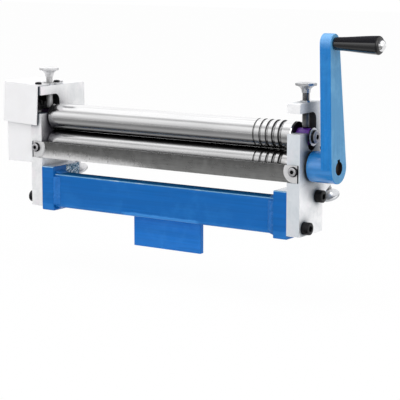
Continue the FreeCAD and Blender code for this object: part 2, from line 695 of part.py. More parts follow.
def turned_key_box(name, low, high):
    """Key as a sketched body, so that it can turn about the shaft's axis."""
    body = new_body(name)
    sketch = new_sketch(body, "outline", "YZ_Plane", low[0])
    add_rectangle(sketch, low[1], high[1], low[2], high[2])
    add_pad(body, sketch, f"({high[0]}) - ({low[0]})")
    return body


def involute_tooth(pitch_r, base_r, tip_r, root_r, half_angle):
    """Right flank of a tooth, as (radius, angle from the tooth's middle) from root to tip."""
    def spread(radius):
        pressure = math.acos(min(1.0, base_r / radius))
        return math.tan(pressure) - pressure
    start = max(base_r, root_r)
    steps = 6
    flank = [(root_r, half_angle + spread(pitch_r))] if root_r < base_r else []
    for step in range(steps + 1):
        radius = start + (tip_r - start) * step / steps
        flank.append((radius, half_angle + spread(pitch_r) - spread(radius)))
    return flank


def make_gear(name, y, z, first_tooth):
    """Spur gear about X between the gear faces; first_tooth is a tooth's angle from +Y."""
    teeth = int(size("gear_teeth"))
    module = size("roll_d") / teeth
    pitch_r = module * teeth / 2
    base_r = pitch_r * math.cos(math.radians(20))
    tip_r, root_r = pitch_r + 0.95 * module, pitch_r - 1.25 * module
    half_angle = math.pi / (2 * teeth) - size("gear_backlash") / (2 * pitch_r)
    flank = involute_tooth(pitch_r, base_r, tip_r, root_r, half_angle)
    around = []
    for tooth in range(teeth):
        middle = math.radians(first_tooth) + 2 * math.pi * tooth / teeth
        around += [(radius, middle - angle) for radius, angle in flank]
        around += [(radius, middle + angle) for radius, angle in reversed(flank)]
    points = [V(0, radius * math.cos(angle), radius * math.sin(angle)) for radius, angle in around]
    face = Part.Face(Part.makePolygon(points + points[:1]))
    hole = Part.Face(Part.Wire(Part.makeCircle(size("journal_d") / 2 + size("fit_gap"), V(), V(1, 0, 0))))
    blank = doc.addObject("Part::Feature", f"{name}_blank")
    blank.Shape = face.cut(hole).extrude(V(-size("gear_w"), 0, 0))
    return place(blank, f"-{GEAR_NEAR}", y, z)


def keyed(name, blank, y, z, angle):
    """Hub with its keyway cut, turned about the shaft's axis like the shaft itself."""
    way = turned_key_box(f"{name}_keyway", (f"-{GEAR_FAR} - 1", "-key_w / 2", "0"),
                         (f"-{GEAR_NEAR} + 1", "key_w / 2", "journal_d / 2 + key_rise"))
    place(way, "0", y, z, angle=angle)
    return cut(name, blank, [way])


def end_screw(name, x, y, z, turn):
    item = screw(name, "screw_d * 1.75", "screw_d * 0.55", "screw_d", "end_screw_l",
                 "screw_d * 0.62", domed=True)
    return place(item, x, y, z, axis=V(0, 1, 0), angle=turn)


def make_lower_roll():
    """Driven roll: gear at its left end, crank at its right end."""
    left_end = f"{GEAR_FAR} - end_draw"
    right_end = f"{CRANK_FAR} - shaft_recess"
    roll = roll_blank("lower_roll", SHOULDER, "journal_d", left_end, right_end)
    add_keyway(roll, "crank_keyway", f"{BOSS_START} + 1", f"{right_end} + 1")
    add_keyway(roll, "gear_keyway", f"-({left_end} + 1)", f"-{GEAR_NEAR}")
    add_end_hole(roll, "end_hole", f"-({left_end})", toward_right=False)
    place(roll, "0", ROLL_Y, "lower_axis_z", angle="crank_lean")
    keep(cut_wire_grooves("lower_roll", roll, "lower_axis_z"), "lower_roll")

    here = {"y": ROLL_Y, "z": "lower_axis_z"}
    gear = make_gear("lower_gear", ROLL_Y, "lower_axis_z", 90)
    keep(keyed("lower_gear", gear, ROLL_Y, "lower_axis_z", "crank_lean"))
    gear_key = shaft_key("lower_gear_key", f"-({left_end})", f"-{GEAR_NEAR}")
    keep(place(gear_key, "0", ROLL_Y, "lower_axis_z", angle="crank_lean"))
    washer = ring_x("lower_roll_end_washer", f"-({GEAR_FAR} + end_washer_t)", f"-{GEAR_FAR}",
                    "screw_d / 2 + screw_clear", "end_washer_d / 2")
    keep(place(washer, **here))
    keep(end_screw("lower_roll_end_screw", f"-({GEAR_FAR} + end_washer_t)", ROLL_Y, "lower_axis_z", "-90"))

    for side, sign in (("right", ""), ("left", "-")):
        bush = turned_x(f"lower_bush_{side}", (
            (f"{sign}{INNER}", "journal_d / 2 + run_gap"),
            (f"{sign}({OUTER} + bush_flange_t)", "journal_d / 2 + run_gap"),
            (f"{sign}({OUTER} + bush_flange_t)", "bush_flange_d / 2"),
            (f"{sign}{OUTER}", "bush_flange_d / 2"),
            (f"{sign}{OUTER}", "lower_bush_d / 2"), (f"{sign}{INNER}", "lower_bush_d / 2")))
        keep(place(bush, **here))


def make_upper_roll():
    """Idle pinch roll, geared to the lower one, in bushes that slide in the open slots."""
    left_end = f"{GEAR_FAR} - end_draw"
    right_end = f"{OUTER} + 0.6"
    here = {"y": ROLL_Y, "z": UPPER_AXIS_Z}
    roll = roll_blank("upper_roll", UPPER_SHOULDER, "journal_d", left_end, f"{right_end} - end_draw")
    add_keyway(roll, "gear_keyway", f"-({left_end} + 1)", f"-{GEAR_NEAR}")
    add_end_hole(roll, "left_hole", f"-({left_end})", toward_right=False)
    add_end_hole(roll, "right_hole", f"{right_end} - end_draw", toward_right=True)
    keep(cut_wire_grooves("upper_roll", place(roll, **here), UPPER_AXIS_Z), "upper_roll")

    gap_down = -90 + 180 / size("gear_teeth")
    gear = make_gear("upper_gear", ROLL_Y, UPPER_AXIS_Z, gap_down)
    keep(keyed("upper_gear", gear, ROLL_Y, UPPER_AXIS_Z, "0"))
    keep(place(shaft_key("upper_gear_key", f"-({left_end})", f"-{GEAR_NEAR}"), **here))

    bore_r = "journal_d / 2 + fit_gap"
    thrust = [place(ring_x(f"thrust_washer_{side}", f"{sign}{UPPER_SHOULDER}",
                           f"{sign}({UPPER_SHOULDER} + thrust_t)", bore_r, "thrust_d / 2"), **here)
              for side, sign in (("right", ""), ("left", "-"))]
    keep(group("thrust_washers", thrust))

    hole_r = "screw_d / 2 + screw_clear"
    washers = [ring_x("upper_washer_right", right_end, f"{right_end} + end_washer_t", hole_r, "end_washer_d / 2"),
               ring_x("upper_washer_left", f"-({GEAR_FAR} + end_washer_t)", f"-{GEAR_FAR}", hole_r,
                      "end_washer_d / 2")]
    keep(group("upper_roll_end_washers", [place(washer, **here) for washer in washers]))
    screws = [end_screw("upper_screw_right", f"{right_end} + end_washer_t", ROLL_Y, UPPER_AXIS_Z, "90"),
              end_screw("upper_screw_left", f"-({GEAR_FAR} + end_washer_t)", ROLL_Y, UPPER_AXIS_Z, "-90")]
    keep(group("upper_roll_end_screws", screws))

    for side, sign in (("right", ""), ("left", "-")):
        bush = ring_x(f"upper_bush_{side}", f"{sign}{INNER}", f"{sign}{OUTER}",
                      "journal_d / 2 + run_gap", UPPER_BUSH_R)
        keep(place(bush, **here))


def make_rear_roll():
    """Bending roll, free to turn in two blocks that slide in the sloping slots."""
    end = f"{OUTER} - block_side_gap - 0.2"
    roll = roll_blank("rear_roll", SHOULDER, "idler_journal_d", end, end)
    keep(place(roll, "0", REAR_Y, "rear_z"))
    for side, sign in (("right", 1), ("left", -1)):
        block = new_body(f"rear_block_{side}")
        near = INNER if sign > 0 else f"-({OUTER} - block_side_gap)"
        outline = new_sketch(block, "outline", "YZ_Plane", near)
        add_rectangle(outline, "-block_w / 2", "block_w / 2", "-block_l / 2", "block_l / 2")
        add_pad(block, outline, "plate_t - block_side_gap")
        far = f"{OUTER} - block_side_gap" if sign > 0 else f"-{INNER}"
        bore = new_sketch(block, "bore", "YZ_Plane", far)
        add_circle(bore, "0", "0", "idler_journal_d / 2 + run_gap")
        add_pocket(block, bore)
        keep(place(block, "0", REAR_Y, "rear_z", angle=REAR_LEAN))


# ---------------------------------------------------------------- adjusting screws and crank

def adjusting_screw(name, length):
    """Plain-drawn threaded rod along its own Z, its tip at the origin."""
    radius = "screw_d / 2"
    return turned_z(name, (("0", "0"), (f"{radius} - 1.2", "0"), (radius, "1.2"), (radius, length), ("0", length)))


def knob(name, length):
    """Thin disc with a cone below it, on the end of a screw of this length."""
    disc = f"({length} - knob_t)"
    bore, rim = "screw_d / 2 + fit_gap", "knob_d / 2"
    return turned_z(name, (
        (bore, f"{disc} - knob_hub_l"), ("knob_neck_d / 2", f"{disc} - knob_hub_l"),
        ("knob_hub_d / 2", disc), (f"{rim} - knob_edge", disc), (rim, f"{disc} + knob_edge"),
        (rim, f"{length} - knob_edge"), (f"{rim} - knob_edge", length), (bore, length)))


def make_adjusters():
    collars = []
    for side, sign in (("right", ""), ("left", "-")):
        collar = turned_z(f"collar_{side}", (
            ("screw_d / 2 + run_gap", "0"), ("collar_d / 2", "0"), ("collar_d / 2", "collar_t"),
            ("screw_d / 2 + run_gap", "collar_t")))
        collars.append(place(collar, f"{sign}{MIDDLE}", ROLL_Y, "plate_h"))
    keep(group("pressure_screw_collars", collars))
    rear_tip = rear_point(f"-{REAR_TIP}", "0")
    for side, sign in (("right", ""), ("left", "-")):
        x = f"{sign}{MIDDLE}"
        keep(place(adjusting_screw(f"pressure_screw_{side}", PRESS_SCREW_L), x, ROLL_Y, PRESS_TIP_Z))
        keep(place(knob(f"pressure_knob_{side}", PRESS_SCREW_L), x, ROLL_Y, PRESS_TIP_Z))
        rear_screw = adjusting_screw(f"rear_screw_{side}", REAR_SCREW_L)
        rear_knob = knob(f"rear_knob_{side}", REAR_SCREW_L)
        for item in (rear_screw, rear_knob):
            keep(place(item, x, *rear_tip, angle=f"180 + {REAR_LEAN}"))


def make_crank():
    """Tapered arm with a boss at the shaft, keyed and held by a grub screw."""
    arm = new_body("crank_arm")
    taper = "asin((crank_hub_d - crank_tip_d) / 2 / crank_reach)"
    web = new_sketch(arm, "web", "YZ_Plane", CRANK_NEAR)
    add_polygon(web, (
        (f"-crank_hub_d / 2 * cos({taper})", f"crank_hub_d / 2 * sin({taper})"),
        (f"crank_hub_d / 2 * cos({taper})", f"crank_hub_d / 2 * sin({taper})"),
        (f"crank_tip_d / 2 * cos({taper})", f"crank_reach + crank_tip_d / 2 * sin({taper})"),
        (f"-crank_tip_d / 2 * cos({taper})", f"crank_reach + crank_tip_d / 2 * sin({taper})")))
    add_pad(arm, web, "crank_t")
    tip = new_sketch(arm, "tip", "YZ_Plane", CRANK_NEAR)
    add_circle(tip, "0", "crank_reach", "crank_tip_d / 2")
    add_pad(arm, tip, "crank_t")
    hub = new_sketch(arm, "hub", "YZ_Plane", BOSS_START)
    add_circle(hub, "0", "0", "crank_hub_d / 2")
    add_pad(arm, hub, "boss_l + crank_t")
    outer = size("roll_span") / 2 + size("plate_t") + size("bush_flange_t") + size("boss_gap")
    outer += size("boss_l") + size("crank_t")
    add_edge_feature(arm, "Fillet", "crank_edge_r",
                     lambda edge: abs(edge.BoundBox.XMin - outer) < 1e-6)
    bore = new_sketch(arm, "bore", "YZ_Plane", CRANK_FAR)
    add_circle(bore, "0", "0", "journal_d / 2 + fit_gap")
    add_pocket(arm, bore)
    keyway = new_sketch(arm, "keyway", "YZ_Plane", CRANK_FAR)
    add_rectangle(keyway, "-key_w / 2", "key_w / 2", "0", "journal_d / 2 + key_rise")
    add_pocket(arm, keyway)
    grip_hole = new_sketch(arm, "grip_hole", "YZ_Plane", CRANK_FAR)
    add_circle(grip_hole, "0", "crank_reach", "spindle_d / 2 + fit_gap")
    add_pocket(arm, grip_hole)
    grub_hole = new_sketch(arm, "grub_hole", "XY_Plane")
    add_circle(grub_hole, f"{BOSS_START} + boss_l / 2", "0", "grub_d / 2 + fit_gap")
    add_pocket(arm, grub_hole)
    here = {"x": "0", "y": ROLL_Y, "z": "lower_axis_z", "angle": "crank_lean"}
    keep(place(arm, **here))

    key = shaft_key("crank_key", f"{BOSS_START} + 1", f"{CRANK_FAR} - shaft_recess")
    keep(place(key, **here))
    tip_y, tip_z = "sin(crank_lean)", "cos(crank_lean)"
    reach = "(journal_d / 2 + fit_gap + grub_l)"
    grub = rod("crank_grub_screw", "grub_d / 2", "grub_l")
    place(grub, f"{BOSS_START} + boss_l / 2", f"{ROLL_Y} + {reach} * {tip_y}",
          f"lower_axis_z - {reach} * {tip_z}", angle="crank_lean")
    keep(grub, "crank_grub_screw")


def make_grip():
    """Revolving sleeve on a headed spindle, closed by a domed cap."""
    here = {"y": GRIP_Y, "z": GRIP_Z}
    sleeve_end = f"({GRIP_NEAR} + grip_l)"
    head_near = f"({sleeve_end} - cap_plug_t - spindle_head_t - spindle_play)"
    spindle_r, head_r = "spindle_d / 2", "spindle_head_d / 2"
    spindle = turned_x("grip_spindle", (
        (CRANK_NEAR, "0"), (CRANK_NEAR, spindle_r), (head_near, spindle_r), (head_near, head_r),
        (f"{head_near} + spindle_head_t", head_r), (f"{head_near} + spindle_head_t", "0")))
    keep(place(spindle, **here))

    bore_r, pocket_r = f"{spindle_r} + run_gap", f"{head_r} + seat_gap"
    floor = f"({head_near} - spindle_play)"
    swell = [(GRIP_NEAR, "grip_neck_d / 2")]
    for share in (0.2, 0.4, 0.6, 0.8):
        rise = f"sin(90 * {share}) * {share} ^ 0.5"
        swell.append((f"{GRIP_NEAR} + (grip_l - grip_end_r) * {share}",
                      f"grip_neck_d / 2 + (grip_d - grip_neck_d) / 2 * {rise}"))
    rounding = [(f"{sleeve_end} - grip_end_r * (1 - sin({turn}))",
                 f"grip_d / 2 - grip_end_r * (1 - cos({turn}))") for turn in (0, 22.5, 45, 67.5, 90)]
    sleeve = turned_x("grip_sleeve", swell + rounding + [
        (sleeve_end, pocket_r), (floor, pocket_r), (floor, bore_r), (GRIP_NEAR, bore_r)])
    keep(place(sleeve, **here))

    dome = [(f"{sleeve_end} + cap_rise * sin({turn})", f"cap_d / 2 * cos({turn})")
            for turn in (0, 15, 30, 45, 60, 75)]
    plug_r = f"({pocket_r} - fit_gap)"
    cap = turned_x("grip_cap", [(f"{sleeve_end} - cap_plug_t", "0"), (f"{sleeve_end} - cap_plug_t", plug_r),
                                (sleeve_end, plug_r)] + dome[1:] + [(f"{sleeve_end} + cap_rise", "0")])
    keep(place(cap, **here))


# ---------------------------------------------------------------- gear guard

def make_guard():
    """Two folded sheet covers over the gears: the upper one laps the lower one."""
    keep(make_upper_guard())
    keep(make_lower_guard())
    screws = []
    for number, (x, y, z, turn) in enumerate(guard_screw_places(), start=1):
        item = screw(f"guard_screw_{number}", "guard_screw_d * 1.9", "guard_screw_d * 0.55",
                     "guard_screw_d", "guard_screw_l", "guard_screw_d * 0.62", domed=True)
        screws.append(place(item, x, y, z, axis=V(0, 1, 0), angle=turn))
    keep(group("guard_screws", screws))


def make_upper_guard():
    """Hood with a cheek over the plate's front and a flange on its top, flared about that edge."""
    outside, cheek = f"(-({OUTER} + guard_out))", f"(-({OUTER} - guard_cheek))"
    top = "(plate_h + guard_t)"
    shell = box("guard_hood_shell", (outside, GUARD_FRONT, "guard_skirt_z"), (cheek, GUARD_BACK, top))
    hollow = box("guard_hood_hollow",
                 (f"{outside} + guard_t", f"{GUARD_FRONT} + guard_t", "guard_skirt_z - 1"),
                 (f"{cheek} + 1", f"{GUARD_BACK} - guard_t", "plate_h"))
    over_plate = box("guard_over_plate",
                     (f"-{OUTER} - slide_gap", f"{FRONT} + guard_ear", "guard_skirt_z - 1"),
                     (f"{cheek} + 1", f"{GUARD_BACK} + 1", f"{top} + 1"))
    notch = box("guard_stem_notch",
                (f"-{MIDDLE} - guard_notch / 2", f"{ROLL_Y} - guard_notch / 2", "plate_h - 1"),
                (f"{cheek} + 1", f"{ROLL_Y} + guard_notch / 2", f"{top} + 1"))
    square = cut("guard_hood", shell, [hollow, over_plate, notch])
    flared = doc.addObject("Part::Compound", "guard_hood_flared")
    flared.Links = [square]
    place(flared, f"{cheek} - {cheek} * cos(guard_tilt) - plate_h * sin(guard_tilt)", "0",
          f"plate_h + {cheek} * sin(guard_tilt) - plate_h * cos(guard_tilt)",
          axis=V(0, 1, 0), angle="guard_tilt")
    return cut("guard_upper", flared, guard_screw_holes("hood_hole", "screw_clear + fit_gap")[:2])


def make_lower_guard():
    """Open-topped tray with two tabs that its screws hold to the side plate."""
    outside = f"(-({OUTER} + guard_lower_out))"
    back = f"({GUARD_BACK} - guard_t - guard_nest)"
    rim, floor = "(guard_skirt_z + guard_lap)", "(guard_foot_z + guard_t)"
    shell = box("guard_tray_shell", (outside, FRONT, "guard_foot_z"), (f"-{OUTER}", back, rim))
    hollow = box("guard_tray_hollow", (f"{outside} + guard_t", f"{FRONT} + guard_t", floor),
                 (f"-{OUTER} + 1", f"{back} - guard_t", f"{rim} + 1"))
    tray = cut("guard_tray", shell, [hollow])
    near, tab_top = f"-({OUTER} + guard_t)", f"{floor} + guard_tab_h"
    front_tab = box("guard_front_tab", (near, f"{FRONT} + guard_t", floor),
                    (f"-{OUTER}", f"{FRONT} + guard_t + guard_tab_w", tab_top))
    rear_tab = box("guard_rear_tab", (near, f"{back} - guard_t - guard_tab_w", floor),
                   (f"-{OUTER}", f"{back} - guard_t", tab_top))
    whole = fuse("guard_tray_whole", [tray, front_tab, rear_tab])
    return cut("guard_lower", whole, guard_screw_holes("tray_hole")[2:])


def check_and_export():
    """Stop on any failed object or bad shape, then write one file per node."""
    doc.recompute()
    for item in doc.Objects:
        if {"Invalid", "Error"} & set(item.State):
            raise RuntimeError(f"{item.Name} failed: {item.State}")
    for node in nodes:
        if node.Shape.isNull() or not node.Shape.isValid():
            raise RuntimeError(f"{node.Label} has no valid shape")
    os.makedirs("parts", exist_ok=True)
    for node in nodes:
        node.Shape.exportStep(f"parts/{node.Label}.step")


make_side_plates()
make_base()
make_tie_plate()
make_lower_roll()
make_upper_roll()
make_rear_roll()
make_adjusters()
make_crank()
make_grip()
make_guard()
check_and_export()
print(f"{len(nodes)} nodes written")
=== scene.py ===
"""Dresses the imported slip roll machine: finishes, bevelled pieces, weld beads, stage, lamps and camera.

Lengths in the sub-assembly classes are millimetres in the model's own frame: X along the rolls to the
crank, Y to the back, Z up. Meshes are built in metres.
"""
import logging
import math
import sys
from dataclasses import dataclass
from enum import Enum
from typing import Callable, Sequence

import bpy
from mathutils import Matrix, Vector

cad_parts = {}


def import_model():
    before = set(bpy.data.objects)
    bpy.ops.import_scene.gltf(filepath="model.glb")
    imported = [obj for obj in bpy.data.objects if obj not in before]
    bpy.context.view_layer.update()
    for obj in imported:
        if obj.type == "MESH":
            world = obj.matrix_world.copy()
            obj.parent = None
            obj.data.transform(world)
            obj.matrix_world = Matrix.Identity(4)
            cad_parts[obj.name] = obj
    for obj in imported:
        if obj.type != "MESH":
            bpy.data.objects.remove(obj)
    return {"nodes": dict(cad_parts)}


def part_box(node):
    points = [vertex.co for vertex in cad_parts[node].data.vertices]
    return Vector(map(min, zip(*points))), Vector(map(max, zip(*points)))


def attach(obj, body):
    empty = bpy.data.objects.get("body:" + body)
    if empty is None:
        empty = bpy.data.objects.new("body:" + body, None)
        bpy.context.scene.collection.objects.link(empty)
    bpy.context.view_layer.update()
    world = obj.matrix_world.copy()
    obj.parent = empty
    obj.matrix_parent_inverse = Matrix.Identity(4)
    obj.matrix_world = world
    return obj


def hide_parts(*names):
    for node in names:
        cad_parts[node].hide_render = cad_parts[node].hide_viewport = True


LOG = logging.getLogger("slip_roll")
MM = 0.001
SAME_PLACE = 0.002 * MM
Point = tuple[float, float, float]
Colour = tuple[float, float, float]
Socket = bpy.types.NodeSocket


def metres(point: Sequence[float]) -> Vector:
    """A point given in millimetres, in metres."""
    return Vector(point) * MM


# ------------------------------------------------------------------------------ shading


class Grain(Enum):
    """Direction in which a machined surface's marks run."""

    ALONG_X = (0.02, 1.0, 1.0)
    ALONG_Z = (1.0, 1.0, 0.02)
    NONE = (1.0, 1.0, 1.0)


def toned(colour: Colour, share: float) -> Colour:
    """A colour made darker, or paler where share is over 1."""
    return tuple(part * share for part in colour)


def with_alpha(colour: "Socket | Colour") -> "Socket | tuple[float, ...]":
    """A plain colour with its alpha of 1, and a socket as it is."""
    return colour if isinstance(colour, bpy.types.NodeSocket) else (*colour, 1.0)


class Shade:
    """A material's node tree, built up one pattern at a time around its surface shader."""

    def __init__(self, name: str) -> None:
        """Start a material with a plain surface shader.

        Args:
            name: the material's name.
        """
        self.material = bpy.data.materials.new(name)
        self.material.use_nodes = True
        self.tree = self.material.node_tree
        self.surface = self.tree.nodes["Principled BSDF"]
        self.place = self.tree.nodes.new("ShaderNodeTexCoord").outputs["Object"]

    def feed(self, target: Socket, value: "Socket | float | Sequence[float]") -> None:
        """Link a socket to a target, or write a constant on it.

        Args:
            target: the input socket.
            value: an output socket, a number or a row of numbers.
        """
        if isinstance(value, bpy.types.NodeSocket):
            self.tree.links.new(value, target)
        else:
            target.default_value = value

    def set(self, **values: "Socket | float | Sequence[float]") -> None:
        """Set the surface shader's sockets by name, with underscores for spaces."""
        for name, value in values.items():
            self.feed(self.surface.inputs[name.replace("_", " ")], value)

    def scaled(self, scale: float, grain: Grain = Grain.NONE) -> Socket:
        """Object coordinates, stretched along a grain.

        Args:
            scale: repeats per metre across the grain.
            grain: the direction that the pattern is drawn out along.

        Returns:
            The vector output.
        """
        node = self.tree.nodes.new("ShaderNodeMapping")
        self.feed(node.inputs["Vector"], self.place)
        node.inputs["Scale"].default_value = [scale * part for part in grain.value]
        return node.outputs["Vector"]

    def noise(self, scale: float, grain: Grain = Grain.NONE, detail: float = 4.0,
              rough: float = 0.55, warp: float = 0.0) -> Socket:
        """Fractal noise from 0 to 1 over the piece.

        Args:
            scale: repeats per metre across the grain.
            grain: the direction that the noise is drawn out along.
            detail: number of finer layers.
            rough: strength of each finer layer.
            warp: how far the noise is pulled about.

        Returns:
            The noise's output.
        """
        node = self.tree.nodes.new("ShaderNodeTexNoise")
        self.feed(node.inputs["Vector"], self.scaled(scale, grain))
        node.inputs["Scale"].default_value = 1.0
        node.inputs["Detail"].default_value = detail
        node.inputs["Roughness"].default_value = rough
        node.inputs["Distortion"].default_value = warp
        return node.outputs["Fac"]

    def spots(self, scale: float, near: float, far: float) -> Socket:
        """Scattered soft dots: 1 at each cell's middle, 0 beyond far.

        Args:
            scale: cells per metre.
            near: distance, in cells, at which a dot starts to fade.
            far: distance, in cells, at which it is gone.

        Returns:
            The mask's output.
        """
        node = self.tree.nodes.new("ShaderNodeTexVoronoi")
        self.feed(node.inputs["Vector"], self.scaled(scale))
        node.inputs["Scale"].default_value = 1.0
        return self.span(node.outputs["Distance"], near, far, 1.0, 0.0)

    def span(self, value: Socket, low: float, high: float, start: float = 0.0,
             end: float = 1.0) -> Socket:
        """Map a value from one range to another, clamped.

        Args:
            value: the value to map.
            low: the value that gives start.
            high: the value that gives end.
            start: the result at low.
            end: the result at high.

        Returns:
            The mapped value.
        """
        node = self.tree.nodes.new("ShaderNodeMapRange")
        for name, number in (("From Min", low), ("From Max", high), ("To Min", start), ("To Max", end)):
            node.inputs[name].default_value = number
        self.feed(node.inputs["Value"], value)
        return node.outputs["Result"]

    def combine(self, first: "Socket | float", second: "Socket | float",
                operation: str = "ADD") -> Socket:
        """Combine two values with a math operation.

        Args:
            first: the first value.
            second: the second value.
            operation: the operation's name, such as ADD or MULTIPLY.

        Returns:
            The result.
        """
        node = self.tree.nodes.new("ShaderNodeMath")
        node.operation = operation
        self.feed(node.inputs[0], first)
        self.feed(node.inputs[1], second)
        return node.outputs[0]

    def mix(self, amount: "Socket | float", first: "Socket | Colour", second: "Socket | Colour") -> Socket:
        """Mix two colours.

        Args:
            amount: 0 for the first colour and 1 for the second.
            first: the first colour.
            second: the second colour.

        Returns:
            The mixed colour.
        """
        node = self.tree.nodes.new("ShaderNodeMix")
        node.data_type = "RGBA"
        self.feed(node.inputs[0], amount)
        self.feed(node.inputs[6], with_alpha(first))
        self.feed(node.inputs[7], with_alpha(second))
        return node.outputs[2]

    def fleck(self, body: Socket, colour: Colour, size: tuple[float, float, float], share: float) -> Socket:
        """Scatter small soft dots over a colour.

        Args:
            body: the colour so far.
            colour: the dots' colour.
            size: cells per metre, and the distances in cells at which a dot starts to fade and is gone.
            share: how much of the dots' colour shows.

        Returns:
            The new colour.
        """
        return self.mix(self.combine(self.spots(*size), share, "MULTIPLY"), body, colour)

    def corner_shade(self, reach_mm: float, low: float, high: float, start: float) -> Socket:
        """Mask for painted shade in tight corners: start in the corner, 1 in the open.

        Args:
            reach_mm: how near another surface has to be to count.
            low: open share of the surroundings at or under which the mask is start.
            high: open share at which it reaches 1.
            start: the mask's lowest value.

        Returns:
            The mask's output.
        """
        node = self.tree.nodes.new("ShaderNodeAmbientOcclusion")
        node.samples = 8
        node.inputs["Distance"].default_value = reach_mm * MM
        return self.span(node.outputs["AO"], low, high, start, 1.0)

    def axis(self, letter: str) -> Socket:
        """One of the object coordinates.

        Args:
            letter: X, Y or Z.

        Returns:
            The coordinate in metres.
        """
        node = self.tree.nodes.new("ShaderNodeSeparateXYZ")
        self.feed(node.inputs[0], self.place)
        return node.outputs[letter]

    def aside(self) -> Socket:
        """Distance from the middle of the rolls' length, in metres."""
        return self.combine(self.axis("X"), 0.0, "ABSOLUTE")

    def ragged(self, letter: str, scale: float, reach_mm: float) -> Socket:
        """An object coordinate shifted back and forth by noise, for an uneven edge.

        Args:
            letter: X, Y or Z.
            scale: repeats of the noise per metre.
            reach_mm: the furthest shift.

        Returns:
            The shifted coordinate in metres.
        """
        reach = reach_mm * MM
        return self.combine(self.axis(letter), self.span(self.noise(scale), 0.2, 0.8, -reach, reach))

    def bump(self, height: Socket, depth_mm: float, strength: float = 0.5) -> None:
        """Raise the surface by a height pattern.

        Args:
            height: the pattern, 0 to 1.
            depth_mm: millimetres that a height of 1 stands for.
            strength: how much of it shows.
        """
        node = self.tree.nodes.new("ShaderNodeBump")
        node.inputs["Strength"].default_value = strength
        node.inputs["Distance"].default_value = depth_mm * MM
        self.feed(node.inputs["Height"], height)
        previous = self.surface.inputs["Normal"]
        if previous.is_linked:
            self.tree.links.new(previous.links[0].from_socket, node.inputs["Normal"])
        self.tree.links.new(node.outputs["Normal"], previous)

    def glow(self, colour: "Socket | Colour", strength: float = 1.0) -> bpy.types.Material:
        """Make the material a plain glow in place of its surface shader.

        Args:
            colour: the glow's colour.
            strength: its strength.

        Returns:
            The finished material.
        """
        node = self.tree.nodes.new("ShaderNodeEmission")
        node.inputs["Strength"].default_value = strength
        self.feed(node.inputs["Color"], with_alpha(colour))
        self.feed(self.tree.nodes["Material Output"].inputs["Surface"], node.outputs[0])
        return self.material


@dataclass(frozen=True)
class MachinedSteel:
    """Bare steel with cutting or grinding marks, smears of oil and small handling marks.

    Painted shade darkens its corners where the open share of the surroundings is under
    corner_shade_open, and nowhere where that is 0.
    """

    name: str
    colour: Colour
    rough: float = 0.3
    metallic: float = 1.0
    grain: Grain = Grain.NONE
    fineness: float = 2600.0
    contrast: float = 0.18
    depth_mm: float = 0.02
    corner_shade_open: float = 0.0

    def material(self) -> bpy.types.Material:
        """Build the material.

        Returns:
            The finished material.
        """
        shade = Shade(self.name)
        marks = shade.noise(self.fineness, self.grain, detail=3.0, rough=0.7)
        broad = shade.noise(45.0, detail=3.0)
        smear = shade.noise(160.0, self.grain, detail=2.0, warp=0.4)
        dark = toned(self.colour, 1.0 - self.contrast)
        body = shade.mix(shade.span(marks, 0.32, 0.68), dark, self.colour)
        stain = tuple(part * tint for part, tint in zip(self.colour, (0.86, 0.85, 0.83)))
        body = shade.mix(shade.span(broad, 0.52, 0.78, 0.0, 0.55), body, stain)
        body = shade.fleck(body, toned(self.colour, 0.45), (210.0, 0.03, 0.07), 0.5)
        if self.corner_shade_open:
            # painted shade: the steel is darkened in its tight corners
            unshaded = shade.corner_shade(12.0, self.corner_shade_open - 0.35, self.corner_shade_open, 0.0)
            body = shade.mix(unshaded, toned(self.colour, 0.12), body)
        gloss = shade.span(smear, 0.3, 0.7, self.rough * 0.8, self.rough * 1.3)
        shade.set(Base_Color=body, Metallic=self.metallic, Roughness=gloss)
        shade.bump(marks, self.depth_mm, 0.35)
        return shade.material


